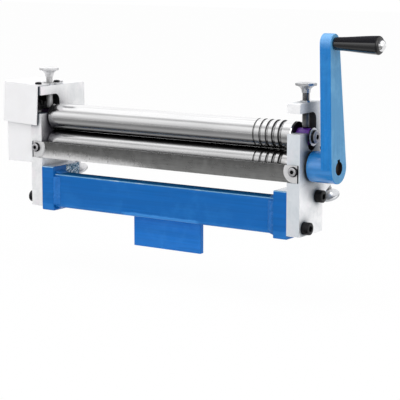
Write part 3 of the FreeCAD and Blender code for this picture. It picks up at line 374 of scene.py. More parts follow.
@dataclass(frozen=True)
class Enamel:
    """Brushed-on gloss paint: soft ridges, thin patches and a few chips.

    The places of its wear and painted highlights are in millimetres, and unused where they are 0: flaked_from
    is the Y behind which it has broken up, lit_band holds half the length and the top of a pale band above
    the lower edge, a painted highlight, and highlight_z holds the heights between which it pales to
    highlight_colour, also a painted highlight.
    """

    name: str
    colour: Colour
    thin: Colour
    grain: Grain = Grain.ALONG_X
    rough: float = 0.34
    coat: float = 0.08
    gloss: float = 0.12
    lumps_mm: float = 0.05
    thin_share: float = 0.6
    flaked_from: float = 0.0
    lit_band: tuple[float, float] = (0.0, 0.0)
    highlight_z: tuple[float, float] = (0.0, 0.0)
    highlight_colour: Colour = (0.27, 0.55, 0.9)

    def material(self) -> bpy.types.Material:
        """Build the material.

        Returns:
            The finished material.
        """
        shade = Shade(self.name)
        ridges = shade.noise(420.0, self.grain, detail=3.0, rough=0.6)
        patches = shade.noise(38.0, detail=5.0, rough=0.62, warp=0.3)
        body = shade.mix(shade.span(ridges, 0.3, 0.72), toned(self.colour, 0.8), self.colour)
        body = shade.mix(shade.span(patches, 0.5, 0.82, 0.0, self.thin_share), body, self.thin)
        body = shade.fleck(body, self.thin, (140.0, 0.02, 0.06), 0.35)
        gloss = shade.span(patches, 0.3, 0.75, self.rough * 0.8, self.rough * 1.35)
        if self.flaked_from:
            body = self.flake(shade, body)
        if self.lit_band[0]:
            body = self.paint_lit_band(shade, body)
        if self.highlight_z[1]:
            # painted highlight: the paint pales toward the top
            start, end = (height * MM for height in self.highlight_z)
            share = shade.span(shade.ragged("Z", 110.0, 1.5), start, end, 0.0, 0.85)
            body = shade.mix(share, body, self.highlight_colour)
        shade.set(Base_Color=body, Roughness=gloss, Coat_Weight=self.coat, Coat_Roughness=0.16,
                  Specular_IOR_Level=self.gloss)
        shade.bump(ridges, self.lumps_mm, 0.4)
        shade.bump(shade.noise(900.0, detail=2.0), 0.02, 0.3)
        return shade.material

    def flake(self, shade: Shade, body: Socket) -> Socket:
        """Break the paint up into dark scale and bare bright steel behind a line.

        Args:
            shade: the material being built.
            body: the paint's colour so far.

        Returns:
            The new colour.
        """
        start = self.flaked_from * MM
        zone = shade.span(shade.ragged("Y", 300.0, 2.0), start, start + 0.001)
        scale = shade.noise(520.0, detail=3.0, rough=0.6, warp=1.4)
        bare = shade.mix(shade.span(scale, 0.41, 0.48), (0.004, 0.012, 0.03), (0.04, 0.24, 0.42))
        bare = shade.mix(shade.span(scale, 0.52, 0.57), bare, (0.86, 0.93, 0.95))
        cover = shade.span(shade.noise(160.0, detail=3.0), 0.3, 0.4, 0.5, 1.0)
        return shade.mix(shade.combine(zone, cover, "MULTIPLY"), body, bare)

    def paint_lit_band(self, shade: Shade, body: Socket) -> Socket:
        """Paint a paler band above the lower edge, in the middle of the length, as a painted highlight.

        Args:
            shade: the material being built.
            body: the paint's colour so far.

        Returns:
            The new colour.
        """
        half, high = (part * MM for part in self.lit_band)
        middle = shade.span(shade.aside(), half, half + 0.006, 1.0, 0.25)
        foot = shade.span(shade.ragged("Z", 90.0, 0.8), high * 0.7, high, 1.0, 0.0)
        share = shade.combine(middle, foot, "MULTIPLY")
        return shade.mix(shade.combine(share, 0.8, "MULTIPLY"), body, (0.05, 0.26, 0.66))


@dataclass(frozen=True)
class ZincPlate:
    """Thick plated steel: cloudy, faintly pink and blue, ground, with blue-grey painted shade in its corners.

    The painted shade is lighter in the corners that lie below less_shade_below, in millimetres, where that is
    set.
    """

    name: str
    colour: Colour
    cool: Colour
    warm: Colour
    rough: float = 0.34
    metallic: float = 0.3
    soil_and_shade: Colour = (0.048, 0.075, 0.105)
    less_shade_below: float = 0.0

    def material(self) -> bpy.types.Material:
        """Build the material.

        Returns:
            The finished material.
        """
        shade = Shade(self.name)
        marks = shade.noise(1900.0, Grain.ALONG_Z, detail=3.0, rough=0.7)
        cloud = shade.noise(62.0, detail=6.0, rough=0.62, warp=0.5)
        blush = shade.noise(41.0, detail=5.0, rough=0.6)
        grit = shade.noise(420.0, detail=4.0, rough=0.7)
        body = shade.mix(shade.span(cloud, 0.42, 0.7, 0.0, 0.85), self.colour, self.cool)
        body = shade.mix(shade.span(blush, 0.52, 0.72, 0.0, 0.8), body, self.warm)
        body = shade.mix(shade.span(grit, 0.55, 0.75, 0.0, 0.3), body, self.cool)
        body = shade.mix(shade.span(marks, 0.6, 0.8, 0.0, 0.25), body, self.cool)
        body = shade.fleck(body, toned(self.cool, 0.5), (170.0, 0.02, 0.05), 0.4)
        # painted shade in the corners; by default its blue-grey is also a painted reflection of the blue
        # parts
        unshaded = shade.corner_shade(26.0, 0.56, 0.97, 0.0)
        if self.less_shade_below:
            edge = self.less_shade_below * MM
            low = shade.span(shade.axis("Z"), edge, edge + 0.004, 1.0, 0.0)
            lift = shade.combine(shade.corner_shade(9.0, 0.3, 0.75, 0.2), unshaded, "SUBTRACT")
            unshaded = shade.combine(unshaded, shade.combine(lift, low, "MULTIPLY"))
        body = shade.mix(unshaded, self.soil_and_shade, body)
        gloss = shade.span(cloud, 0.3, 0.7, self.rough * 0.8, self.rough * 1.35)
        shade.set(Base_Color=body, Metallic=self.metallic, Roughness=gloss)
        shade.bump(marks, 0.02, 0.3)
        shade.bump(grit, 0.02, 0.2)
        return shade.material


@dataclass(frozen=True)
class TieBar:
    """Dull flat bar, darkened in part and paler toward its lower edge as painted reflection,
    with a bright patch of painted reflection low at one end.
    """

    name: str
    colour: Colour = (0.19, 0.19, 0.188)
    reflection_colour: Colour = (0.68, 0.675, 0.675)
    dull_z: float = 72.0
    pale_z: float = 55.5
    patch_x: tuple[float, float] = (-120.0, -10.0)
    patch_top_z: tuple[float, float] = (65.5, 61.5)
    patch_fade_x: tuple[float, float] = (-40.0, 0.0)

    def material(self) -> bpy.types.Material:
        """Build the material.

        Returns:
            The finished material.
        """
        shade = Shade(self.name)
        marks = shade.noise(1500.0, Grain.ALONG_X, detail=3.0, rough=0.7)
        cloud = shade.noise(110.0, detail=5.0, rough=0.65)
        height = shade.axis("Z")
        pale = toned(self.colour, 2.1)
        # painted reflection: the bar pales toward its lower edge
        body = shade.mix(shade.span(height, self.dull_z * MM, self.pale_z * MM), self.colour, pale)
        body = shade.mix(shade.span(marks, 0.45, 0.75, 0.0, 0.5), body, toned(self.colour, 0.7))
        body = shade.mix(shade.span(cloud, 0.5, 0.75, 0.0, 0.35), body, pale)
        # painted reflection: a bright patch low at the left end, fading toward the middle
        run = (part * MM for part in (*self.patch_x, *self.patch_top_z))
        edge = shade.combine(shade.span(shade.axis("X"), *run),
                             shade.span(shade.noise(420.0), 0.25, 0.75, -0.0018, 0.0018))
        depth = shade.span(shade.combine(edge, height, "SUBTRACT"), 0.0, 0.008)
        fade = (part * MM for part in self.patch_fade_x)
        share = shade.combine(depth, shade.span(shade.axis("X"), *fade, 1.0, 0.0), "MULTIPLY")
        body = shade.mix(share, body, self.reflection_colour)
        shade.set(Base_Color=body, Metallic=shade.span(share, 0.0, 1.0, 1.0, 0.2),
                  Roughness=shade.span(cloud, 0.3, 0.7, 0.24, 0.36))
        shade.bump(marks, 0.02, 0.3)
        return shade.material


@dataclass(frozen=True)
class PowderCoat:
    """Baked coat on thin sheet, with fine orange peel, dust and rubbed places."""

    name: str
    colour: Colour
    soil_and_shade: Colour
    rough: float = 0.45

    def material(self) -> bpy.types.Material:
        """Build the material.

        Returns:
            The finished material.
        """
        shade = Shade(self.name)
        peel = shade.noise(1500.0, detail=2.0, rough=0.5)
        cloud = shade.noise(26.0, detail=5.0, rough=0.6)
        smear = shade.noise(70.0, Grain.ALONG_X, detail=4.0, warp=0.6)
        body = shade.mix(shade.span(cloud, 0.35, 0.8, 0.0, 0.5), self.colour, self.soil_and_shade)
        body = shade.mix(shade.span(smear, 0.62, 0.8, 0.0, 0.5), body, self.soil_and_shade)
        body = shade.fleck(body, toned(self.soil_and_shade, 0.5), (170.0, 0.015, 0.05), 0.5)
        shade.set(Base_Color=body, Roughness=shade.span(cloud, 0.3, 0.7, self.rough, self.rough * 1.25))
        shade.bump(peel, 0.03, 0.3)
        return shade.material


@dataclass(frozen=True)
class PolishedRoll:
    """Ground and polished bar: fine rings from grinding, long soft streaks, a little haze.

    Painted shade makes the nip between two rolls near black; toward the ends of the rolls it is lighter.
    """

    name: str
    colour: Colour = (0.74, 0.74, 0.745)
    rough: float = 0.15
    oil_and_shade: Colour = (0.006, 0.006, 0.006)
    end_x: tuple[float, float] = (146.0, 154.0)

    def material(self) -> bpy.types.Material:
        """Build the material.

        Returns:
            The finished material.
        """
        shade = Shade(self.name)
        rings = shade.noise(3200.0, detail=2.0)
        streak = shade.noise(520.0, Grain.ALONG_X, detail=3.0, rough=0.6)
        haze = shade.noise(30.0, detail=4.0, warp=0.5)
        body = shade.mix(shade.span(streak, 0.3, 0.7), toned(self.colour, 0.8), self.colour)
        body = shade.mix(shade.span(haze, 0.5, 0.8, 0.0, 0.4), body, (0.66, 0.655, 0.65))
        # painted shade: near black in the nip, lighter toward the ends of the rolls
        body = shade.mix(self.unshaded(shade), self.oil_and_shade, body)
        gloss = shade.span(haze, 0.3, 0.75, self.rough * 0.8, self.rough * 1.5)
        shade.set(Base_Color=body, Metallic=1.0, Roughness=gloss)
        shade.bump(streak, 0.012, 0.25)
        shade.bump(rings, 0.006, 0.2)
        return shade.material

    def unshaded(self, shade: Shade) -> Socket:
        """Mask of the roll's unshaded parts, which falls in two steps into the painted shade of the nip.

        Args:
            shade: the material being built.

        Returns:
            The mask: 1 where the roll has no painted shade.
        """
        inner, outer = (part * MM for part in self.end_x)
        nip = shade.combine(shade.corner_shade(14.0, 0.7, 0.79, 0.28), shade.corner_shade(14.0, 0.3, 0.55, 0.25),
                            "MULTIPLY")
        middle = shade.combine(nip, shade.span(shade.aside(), inner, outer, 1.0, 0.0), "MULTIPLY")
        ends = shade.combine(shade.corner_shade(14.0, 0.15, 0.5, 0.05),
                             shade.span(shade.aside(), inner, outer), "MULTIPLY")
        return shade.combine(middle, ends)


@dataclass(frozen=True)
class BlackOxide:
    """Blackened steel with oily sheen and bright rubbed grains."""

    name: str
    colour: Colour = (0.012, 0.012, 0.014)
    rough: float = 0.38

    def material(self) -> bpy.types.Material:
        """Build the material.

        Returns:
            The finished material.
        """
        shade = Shade(self.name)
        grit = shade.noise(2400.0, detail=3.0)
        oil_and_shade = shade.noise(220.0, detail=3.0)
        body = shade.mix(shade.span(grit, 0.6, 0.8, 0.0, 0.6), self.colour, (0.06, 0.06, 0.065))
        gloss = shade.span(oil_and_shade, 0.3, 0.7, self.rough * 0.7, self.rough * 1.3)
        shade.set(Base_Color=body, Metallic=0.75, Roughness=gloss)
        shade.bump(grit, 0.02, 0.35)
        return shade.material


@dataclass(frozen=True)
class MouldedPlastic:
    """Moulded plastic: a gloss or satin skin with faint flow marks and scuffs."""

    name: str
    colour: Colour
    scuff: Colour
    rough: float = 0.2
    coat: float = 0.3

    def material(self) -> bpy.types.Material:
        """Build the material.

        Returns:
            The finished material.
        """
        shade = Shade(self.name)
        flow = shade.noise(90.0, Grain.ALONG_X, detail=3.0, warp=0.5)
        fine = shade.noise(1100.0, detail=2.0)
        scratch = shade.noise(900.0, Grain.ALONG_X, detail=1.0, rough=0.3)
        body = shade.mix(shade.span(flow, 0.4, 0.8, 0.0, 0.5), self.colour, self.scuff)
        body = shade.mix(shade.span(scratch, 0.7, 0.78, 0.0, 0.5), body, self.scuff)
        shade.set(Base_Color=body, Roughness=shade.span(flow, 0.3, 0.7, self.rough * 0.8, self.rough * 1.4),
                  Coat_Weight=self.coat, Coat_Roughness=0.08)
        shade.bump(fine, 0.012, 0.2)
        return shade.material


class Paintbox:
    """Every finish on the machine, each made once."""

    def __init__(self) -> None:
        """Make the materials.

        A steel's numbers are its roughness, its metallic share, the direction, fineness and contrast of
        its marks, and their depth; an enamel's are its thin paint's direction, roughness, coat and gloss.
        """
        finishes = (
            # plates: painted shade in the corners, its blue-grey also a painted reflection of the blue parts
            ZincPlate("ground_plate", (0.9, 0.9, 0.91), (0.7, 0.715, 0.73), (0.88, 0.825, 0.86)),
            # the plates' inner sides: painted shade in a lilac grey, lighter low down
            ZincPlate("inner_plate", (0.9, 0.9, 0.91), (0.7, 0.715, 0.73), (0.88, 0.825, 0.86),
                      soil_and_shade=(0.065, 0.062, 0.076), less_shade_below=61.0),
            # darker, bluer copy of the plate for the right plate's front: painted shade
            ZincPlate("shaded_plate_front", (0.7, 0.735, 0.775), (0.57, 0.62, 0.66), (0.72, 0.71, 0.75)),
            MachinedSteel("dark_plate_edge", (0.3, 0.31, 0.33), 0.35, 0.5, Grain.NONE, 1500.0, 0.3),
            TieBar("tie_bar"),
            # near black top face of the tie plate: painted shade
            MachinedSteel("shaded_tie_top", (0.035, 0.035, 0.036), 0.5, 0.6, Grain.ALONG_X, 1500.0, 0.3),
            # bright pads, also used as a painted highlight on the tie plate's top front edge
            MachinedSteel("pad_steel_and_highlight", (0.78, 0.78, 0.79), 0.34, 0.5, Grain.NONE, 1300.0, 0.12),
            # dark side of the right pad: painted shade
            MachinedSteel("pad_end_shade", (0.04, 0.05, 0.06), 0.45, 0.4, Grain.NONE, 1300.0, 0.2),
            MachinedSteel("drawn_bar", (0.4, 0.4, 0.4), 0.33, 1.0, Grain.ALONG_X, 1500.0, 0.14),
            MachinedSteel("bright_zinc", (0.66, 0.67, 0.69), 0.22, 1.0, Grain.NONE, 1300.0, 0.15),
            MachinedSteel("washer_zinc", (0.92, 0.92, 0.93), 0.36, 0.3, Grain.NONE, 1300.0, 0.2),
            # the left knob is a paler copy of the right one's finish: painted light
            MachinedSteel("turned_knob", (0.6, 0.61, 0.63), 0.3, 0.8, Grain.NONE, 1800.0, 0.15),
            MachinedSteel("pale_knob", (0.72, 0.72, 0.73), 0.36, 0.6, Grain.NONE, 1800.0, 0.12),
            MachinedSteel("screw_grey", (0.46, 0.45, 0.465), 0.36, 0.4, Grain.NONE, 1800.0, 0.3),
            MachinedSteel("button_zinc", (0.62, 0.62, 0.64), 0.3, 0.85, Grain.NONE, 1800.0, 0.2),
            # painted shade in the threads' corners; the left thread, a paler copy, is painted light
            MachinedSteel("screw_thread", (0.5, 0.5, 0.51), 0.3, 1.0, Grain.ALONG_Z, 1500.0, 0.2,
                          corner_shade_open=0.8),
            MachinedSteel("pale_thread", (0.75, 0.75, 0.76), 0.35, 0.6, Grain.ALONG_Z, 1500.0, 0.2,
                          corner_shade_open=0.58),
            MachinedSteel("cap_chrome", (0.8, 0.8, 0.81), 0.14, 1.0, Grain.NONE, 900.0, 0.08),
            MachinedSteel("cut_gear", (0.3, 0.3, 0.31), 0.4, 1.0, Grain.ALONG_X, 2200.0, 0.3),
            MachinedSteel("bearing_bronze", (0.6, 0.38, 0.17), 0.32, 1.0, Grain.NONE, 1800.0, 0.2),
            # a pale band low on the blue enamel's front: a painted highlight
            Enamel("blue_enamel", (0.003, 0.128, 0.45), (0.012, 0.175, 0.52), lit_band=(46.0, 4.8)),
            Enamel("flaked_enamel", (0.003, 0.128, 0.45), (0.012, 0.175, 0.52), flaked_from=3.0),
            Enamel("tongue_enamel", (0.012, 0.185, 0.62), (0.03, 0.24, 0.66)),
            # darker copy of the blue enamel for the tube's top: painted shade
            Enamel("shaded_top_enamel", (0.012, 0.095, 0.25), (0.02, 0.16, 0.36), rough=0.6, coat=0.0, gloss=0.0),
            Enamel("gloss_top", (0.02, 0.16, 0.42), (0.08, 0.28, 0.5), rough=0.2, coat=1.0, gloss=1.0),
            # pale rounded corners: painted highlight
            Enamel("highlight_enamel", (0.16, 0.38, 0.58), (0.88, 0.9, 0.84), gloss=0.2, thin_share=1.0),
            # the crank's enamel pales toward the top: a painted highlight
            Enamel("crank_enamel", (0.01, 0.195, 0.56), (0.03, 0.28, 0.66), Grain.ALONG_Z, 0.28, 0.12, 0.2,
                   highlight_z=(192.0, 208.0)),
            # glossier boss; its paler colour is a painted highlight
            Enamel("boss_enamel", (0.015, 0.22, 0.6), (0.06, 0.33, 0.7), Grain.ALONG_X, 0.22, 0.6, 0.7),
            # paler copy of the crank's enamel for its outer side: painted light
            Enamel("lit_crank_side", (0.09, 0.3, 0.55), (0.2, 0.45, 0.67), Grain.ALONG_Z, thin_share=0.9),
            Enamel("smooth_weld", (0.004, 0.145, 0.5), (0.03, 0.24, 0.62), Grain.ALONG_Z, gloss=0.3),
            # the right bead's pale streaks are painted highlights
            Enamel("weld_enamel", (0.006, 0.14, 0.47), (0.12, 0.42, 0.7), Grain.ALONG_Z, 0.3, 0.2, 0.3,
                   lumps_mm=0.12, thin_share=0.9),
            PowderCoat("white_coat", (0.8, 0.8, 0.815), (0.7, 0.69, 0.695)),
            # near black inside of the covers: painted shade
            PowderCoat("shaded_guard_inside", (0.02, 0.02, 0.022), (0.05, 0.05, 0.052), 0.6),
            PolishedRoll("polished_roll"),
            # darkened slot walls: painted shade, deepest on the left under the cover
            MachinedSteel("shaded_slot", (0.09, 0.09, 0.095), 0.45, 0.6, Grain.ALONG_Z, 1400.0, 0.45, 0.05),
            MachinedSteel("dark_shaded_slot", (0.012, 0.012, 0.013), 0.55, 0.3, Grain.ALONG_Z, 1400.0, 0.4, 0.05),
            # near black bore, key and shaft end: painted shade
            MachinedSteel("dark_bore", (0.05, 0.035, 0.028), 0.45, 0.7, Grain.ALONG_X, 1400.0, 0.4, 0.05),
            # dark groove walls: painted shade
            MachinedSteel("groove_shade", (0.06, 0.06, 0.062), 0.4, 0.9, Grain.NONE, 2000.0, 0.3),
            # black oxide, also used as painted shade in screw sockets, round screw feet and on washer rims
            BlackOxide("black_oxide_and_shade"),
            # near black copy of the purple bush, for the left: painted shade
            MouldedPlastic("shaded_bush", (0.012, 0.004, 0.02), (0.03, 0.012, 0.05), 0.4, 0.0),
            MouldedPlastic("purple_bush", (0.09, 0.012, 0.26), (0.16, 0.04, 0.36), 0.35, 0.1),
            MouldedPlastic("grip_rim", (0.003, 0.003, 0.004), (0.01, 0.009, 0.011), 0.3, 0.0),
            MouldedPlastic("black_grip", (0.003, 0.003, 0.004), (0.012, 0.011, 0.013), 0.08, 1.0),
        )
        self.materials = {finish.name: finish.material() for finish in finishes}

    def named(self, *names: str) -> list[bpy.types.Material]:
        """The materials of these names."""
        return [self.materials[name] for name in names]

    def dress(self, piece: bpy.types.Object, *names: str) -> None:
        """Give a piece its finishes, one material slot for each name.

        Args:
            piece: the piece.
            names: the finishes' names, in the order of the slots.
        """
        slots = piece.data.materials
        while len(slots) < len(names):
            slots.append(None)
        while len(slots) > len(names):
            slots.pop(index=len(slots) - 1)
        for number, name in enumerate(names):
            slots[number] = self.materials[name]


# ------------------------------------------------------------------------------ modelling


def clear_selection() -> None:
    """Leave edit mode and deselect every object."""
    if bpy.context.object is not None and bpy.context.object.mode != "OBJECT":
        bpy.ops.object.mode_set(mode="OBJECT")
    bpy.ops.object.select_all(action="DESELECT")


def take(piece: bpy.types.Object) -> bpy.types.Object:
    """Select one object alone and make it active.

    Args:
        piece: the object.

    Returns:
        The same object.
    """
    clear_selection()
    piece.select_set(True)
    bpy.context.view_layer.objects.active = piece
    return piece


def pick(piece: bpy.types.Object, kind: str, wanted: Callable[..., bool]) -> None:
    """Select the faces or vertices of the piece in edit mode for which wanted is true.

    Args:
        piece: the object being edited.
        kind: FACE or VERT.
        wanted: called with a face's centre and normal, or with a vertex's place, in millimetres.
    """
    bpy.ops.mesh.select_mode(type=kind)
    bpy.ops.mesh.select_all(action="DESELECT")
    bpy.ops.object.mode_set(mode="OBJECT")
    mesh, matrix = piece.data, piece.matrix_world
    if kind == "FACE":
        chosen = [face for face in mesh.polygons if wanted(matrix @ face.center / MM, face.normal)]
    else:
        chosen = [vertex for vertex in mesh.vertices if wanted(matrix @ vertex.co / MM)]
    for item in chosen:
        item.select = True
    bpy.ops.object.mode_set(mode="EDIT")


def smooth_rounds(piece: bpy.types.Object, angle: float = 35.0) -> None:
    """Smooth a piece's round faces and keep its edges sharp.

    Args:
        piece: the object.
        angle: edges flatter than this, in degrees, are smoothed.
    """
    take(piece)
    bpy.ops.object.shade_smooth_by_angle(angle=math.radians(angle))


def shape_with(piece: bpy.types.Object, kind: str, **settings: object) -> None:
    """Add a modifier to a piece, set it up and apply it.

    Args:
        piece: the object.
        kind: the modifier's type.
        settings: its settings by name.
    """
    take(piece)
    modifier = piece.modifiers.new(kind.lower(), kind)
    for name, value in settings.items():
        setattr(modifier, name, value)
    bpy.ops.object.modifier_apply(modifier=modifier.name)


def bevel_edges(piece: bpy.types.Object, width: float, segments: int = 2, edge_slot: int = -1) -> None:
    """Round every sharp edge of a piece and even out its shading.

    Args:
        piece: the object.
        width: the bevel's width in millimetres.
        segments: faces across the bevel.
        edge_slot: material slot of the new faces, or -1 for that of their neighbours.
    """
    shape_with(piece, "BEVEL", width=width * MM, segments=segments, limit_method="ANGLE",
               angle_limit=math.radians(30.0), material=edge_slot)
    smooth_rounds(piece, 40.0)
    shape_with(piece, "WEIGHTED_NORMAL", keep_sharp=True)


def own_copy(piece: bpy.types.Object, name: str) -> bpy.types.Object:
    """Copy a piece with a mesh of its own.

    Args:
        piece: the object.
        name: the copy's name.

    Returns:
        The copy.
    """
    copy = bpy.data.objects.new(name, piece.data.copy())
    copy.data.name = name
    bpy.context.scene.collection.objects.link(copy)
    return copy


def turned_copy(piece: bpy.types.Object, name: str, matrix: Matrix) -> bpy.types.Object:
    """Copy a piece and move the copy's mesh.

    Args:
        piece: the object.
        name: the copy's name.
        matrix: the move, in metres.

    Returns:
        The copy.
    """
    copy = own_copy(piece, name)
    copy.data.transform(matrix)
    return copy


def whole_copy(node: bpy.types.Object) -> bpy.types.Object:
    """Copy a frame node and join its triangles into whole faces.

    Args:
        node: the frame's node.

    Returns:
        The new object.
    """
    piece = take(own_copy(node, f"{node.name}_eased"))
    bpy.ops.object.mode_set(mode="EDIT")
    bpy.ops.mesh.select_all(action="SELECT")
    bpy.ops.mesh.remove_doubles(threshold=SAME_PLACE)
    bpy.ops.mesh.dissolve_limited(angle_limit=math.radians(0.6))
    bpy.ops.object.mode_set(mode="OBJECT")
    return piece


def lathe(name: str, profile: Sequence[tuple[float, float]], centre: Point, axis: Point,
          steps: int = 72, angle: float = 35.0) -> bpy.types.Object:
    """Turn a closed or axis-to-axis outline round an axis.

    Args:
        name: the new object's name.
        profile: (distance along the axis, radius) pairs in millimetres.
        centre: the axis's zero point in millimetres.
        axis: the axis's direction.
        steps: faces round the piece.
        angle: smoothing limit in degrees.

    Returns:
        The turned piece.
    """
    along = Vector(axis).normalized()
    out = along.orthogonal().normalized()
    points = [metres(centre) + (along * reach + out * radius) * MM for reach, radius in profile]
    clear_selection()
    bpy.ops.mesh.primitive_plane_add(size=0.0001, location=points[0])
    piece = bpy.context.object
    bpy.ops.object.mode_set(mode="EDIT")
    bpy.ops.mesh.select_mode(type="VERT")
    bpy.ops.mesh.select_all(action="SELECT")
    bpy.ops.mesh.merge(type="CENTER")
    for start, end in zip(points, points[1:]):
        bpy.ops.mesh.extrude_vertices_move(TRANSFORM_OT_translate={"value": end - start})
    bpy.ops.mesh.select_all(action="SELECT")
    bpy.ops.mesh.spin(steps=steps, angle=2 * math.pi, center=metres(centre), axis=along)
    bpy.ops.mesh.select_all(action="SELECT")
    bpy.ops.mesh.remove_doubles(threshold=SAME_PLACE)
    bpy.ops.mesh.normals_make_consistent(inside=False)
    bpy.ops.object.mode_set(mode="OBJECT")
    piece.name = name
    piece.data.name = name
    bpy.ops.object.transform_apply(location=True, rotation=True, scale=True)
    smooth_rounds(piece, angle)
    return piece


def carve(piece: bpy.types.Object, tool: bpy.types.Object) -> None:
    """Cut a tool's shape out of a piece and throw the tool away.

    Args:
        piece: the object to cut.
        tool: the object in the shape of the cut.
    """
    shape_with(piece, "BOOLEAN", operation="DIFFERENCE", solver="EXACT", object=tool)
    bpy.data.objects.remove(tool, do_unlink=True)
    smooth_rounds(piece)


def join(name: str, pieces: Sequence[bpy.types.Object]) -> bpy.types.Object:
    """Join separate solids into one object.

    Args:
        name: the joined object's name.
        pieces: the solids.

    Returns:
        The joined object.
    """
    clear_selection()
    bpy.context.view_layer.update()
    for piece in pieces:
        piece.select_set(True)
    bpy.context.view_layer.objects.active = pieces[0]
    if len(pieces) > 1:
        bpy.ops.object.join()
    joined = bpy.context.object
    joined.name = name
    joined.data.name = name
    return joined


def press_ribs(piece: bpy.types.Object, pitch: float, share: float,
               on_rim: Callable[[Vector], bool]) -> None:
    """Press the grooves of a knurl into a rim round the piece's own Z.

    Args:
        piece: the turned piece, with its axis on Z.
        pitch: degrees from a rib to the groove beside it.
        share: the grooves' radius, as a share of the rim's.
        on_rim: whether a point, in millimetres, lies on the rim.
    """
    def in_groove(place: Vector) -> bool:
        """Whether a point lies on one of the lines that are pressed in."""
        line = round(math.degrees(math.atan2(place.y, place.x)) / pitch)
        return line % 2 == 0 and on_rim(place)

    take(piece)
    bpy.ops.object.mode_set(mode="EDIT")
    pick(piece, "VERT", in_groove)
    bpy.ops.transform.resize(value=(share, share, 1.0), center_override=(0.0, 0.0, 0.0))
    bpy.ops.object.mode_set(mode="OBJECT")


def paint_faces(piece: bpy.types.Object, material: bpy.types.Material,
                wanted: Callable[[Vector, Vector], bool]) -> None:
    """Give one of a piece's materials to some of its faces.

    Args:
        piece: the object.
        material: the material, which the piece already has.
        wanted: called with a face's centre in millimetres and its normal.
    """
    slot = list(piece.data.materials).index(material)
    for face in piece.data.polygons:
        if wanted(face.center / MM, face.normal):
            face.material_index = slot


# ------------------------------------------------------------------------------ hardware


@dataclass(frozen=True)
class SocketScrew:
    """Screw head and shank, pointing up its own Z from its seat at the origin."""

    head_d: float
    head_h: float
    shank_d: float
    shank_l: float
    socket: float
    domed: bool = False
    knurled: bool = False
    rim_w: float = 0.0

    def outline(self) -> list[tuple[float, float]]:
        """Outline of half the screw, from its tip to the top of its head.

        Returns:
            (height, radius) pairs.
        """
        rim, shank = self.head_d / 2, self.shank_d / 2
        profile = [(-self.shank_l, 0.0), (-self.shank_l, shank - 0.5), (-self.shank_l + 0.6, shank),
                   (0.0, shank), (0.0, rim - 0.15), (0.15, rim)]
        if self.domed:
            waist = self.head_h * 0.3
            crown = rim * 0.64
            for step in range(9):
                turn = math.radians(90 * step / 8)
                profile.append((waist + (self.head_h - waist) * math.sin(turn),
                                crown + (rim - crown) * math.cos(turn)))
            profile.append((self.head_h - 0.01, self.socket * 0.68))
        else:
            profile += [(self.head_h - 0.9, rim), (self.head_h - 0.35, rim - 0.2), (self.head_h, rim - 0.9)]
        return profile + [(self.head_h, 0.0)]

    def build(self, name: str) -> bpy.types.Object:
        """Turn the screw and cut its socket.

        Args:
            name: the new object's name.

        Returns:
            The screw at the origin.
        """
        piece = lathe(name, self.outline(), (0.0, 0.0, 0.0), (0.0, 0.0, 1.0), 80 if self.knurled else 64)
        if self.knurled:
            press_ribs(piece, 4.5, 0.96, self.on_knurl)
        clear_selection()
        corner_r, depth = self.socket / math.cos(math.pi / 6) / 2, self.head_h * 0.6
        bpy.ops.mesh.primitive_cylinder_add(vertices=6, radius=corner_r * MM, depth=2 * depth * MM,
                                            end_fill_type="NGON",
                                            location=metres((0.0, 0.0, self.head_h)))
        carve(piece, bpy.context.object)
        return piece

    def shadowed(self, place: Vector, _normal: Vector) -> bool:
        """Whether a face lies in the socket or in the dark ring round the foot of the head.

        Args:
            place: the face's centre in millimetres.
            _normal: its normal, which doesn't matter.

        Returns:
            True for such a face.
        """
        out = math.hypot(place.x, place.y)
        in_socket = out < self.socket * 0.57 and self.head_h * 0.35 < place.z < self.head_h - 0.02
        return in_socket or (-0.01 < place.z < self.head_h and out > self.head_d / 2 - self.rim_w)

    def on_knurl(self, place: Vector) -> bool:
        """Whether a point lies on the side of the head, between its foot and its rounded top."""
        return 0.1 < place.z < self.head_h - 0.5 and math.hypot(place.x, place.y) > self.head_d / 2 - 0.1


def ring_outline(bore_r: float, rim_r: float, thick: float, ease: float) -> list[tuple[float, float]]:
    """Closed outline of a plain washer with an eased rim.

    Args:
        bore_r: radius of its hole.
        rim_r: radius of its rim.
        thick: its thickness.
        ease: width of the chamfers at the rim.

    Returns:
        (height, radius) pairs.
    """
    return [(0.0, bore_r), (0.0, rim_r - ease), (ease, rim_r), (thick - ease, rim_r),
            (thick, rim_r - ease), (thick, bore_r), (0.0, bore_r)]


def stood(place: Point, up: Point, turn: float = 0.0) -> Matrix:
    """Matrix that stands a piece made along Z at a place, along another direction.

    Args:
        place: where its origin goes, in millimetres.
        up: the direction that its Z takes.
        turn: its turn about its own Z first, in degrees.

    Returns:
        The matrix, in metres.
    """
    swing = Vector((0.0, 0.0, 1.0)).rotation_difference(Vector(up)).to_matrix().to_4x4()
    return Matrix.Translation(metres(place)) @ swing @ Matrix.Rotation(math.radians(turn), 4, "Z")


def set_of_screws(name: str, screw: SocketScrew, places: Sequence[tuple[Point, Point, float]],
                  materials: Sequence[bpy.types.Material] = ()) -> bpy.types.Object:
    """Model one screw and copy it to each of its places.

    Args:
        name: name of the joined piece.
        screw: the screw.
        places: seat, direction and turn of each copy.
        materials: its skin's material, and that of its socket and foot, where these differ.

    Returns:
        The joined screws.
    """
    first = screw.build(f"{name}_pattern")
    for material in materials:
        first.data.materials.append(material)
    for shadow in materials[1:]:
        paint_faces(first, shadow, screw.shadowed)
    copies = [turned_copy(first, f"{name}_{number}", stood(*place)) for number, place in enumerate(places)]
    bpy.data.objects.remove(first, do_unlink=True)
    return join(name, copies)


# ------------------------------------------------------------------------------ sub-assemblies


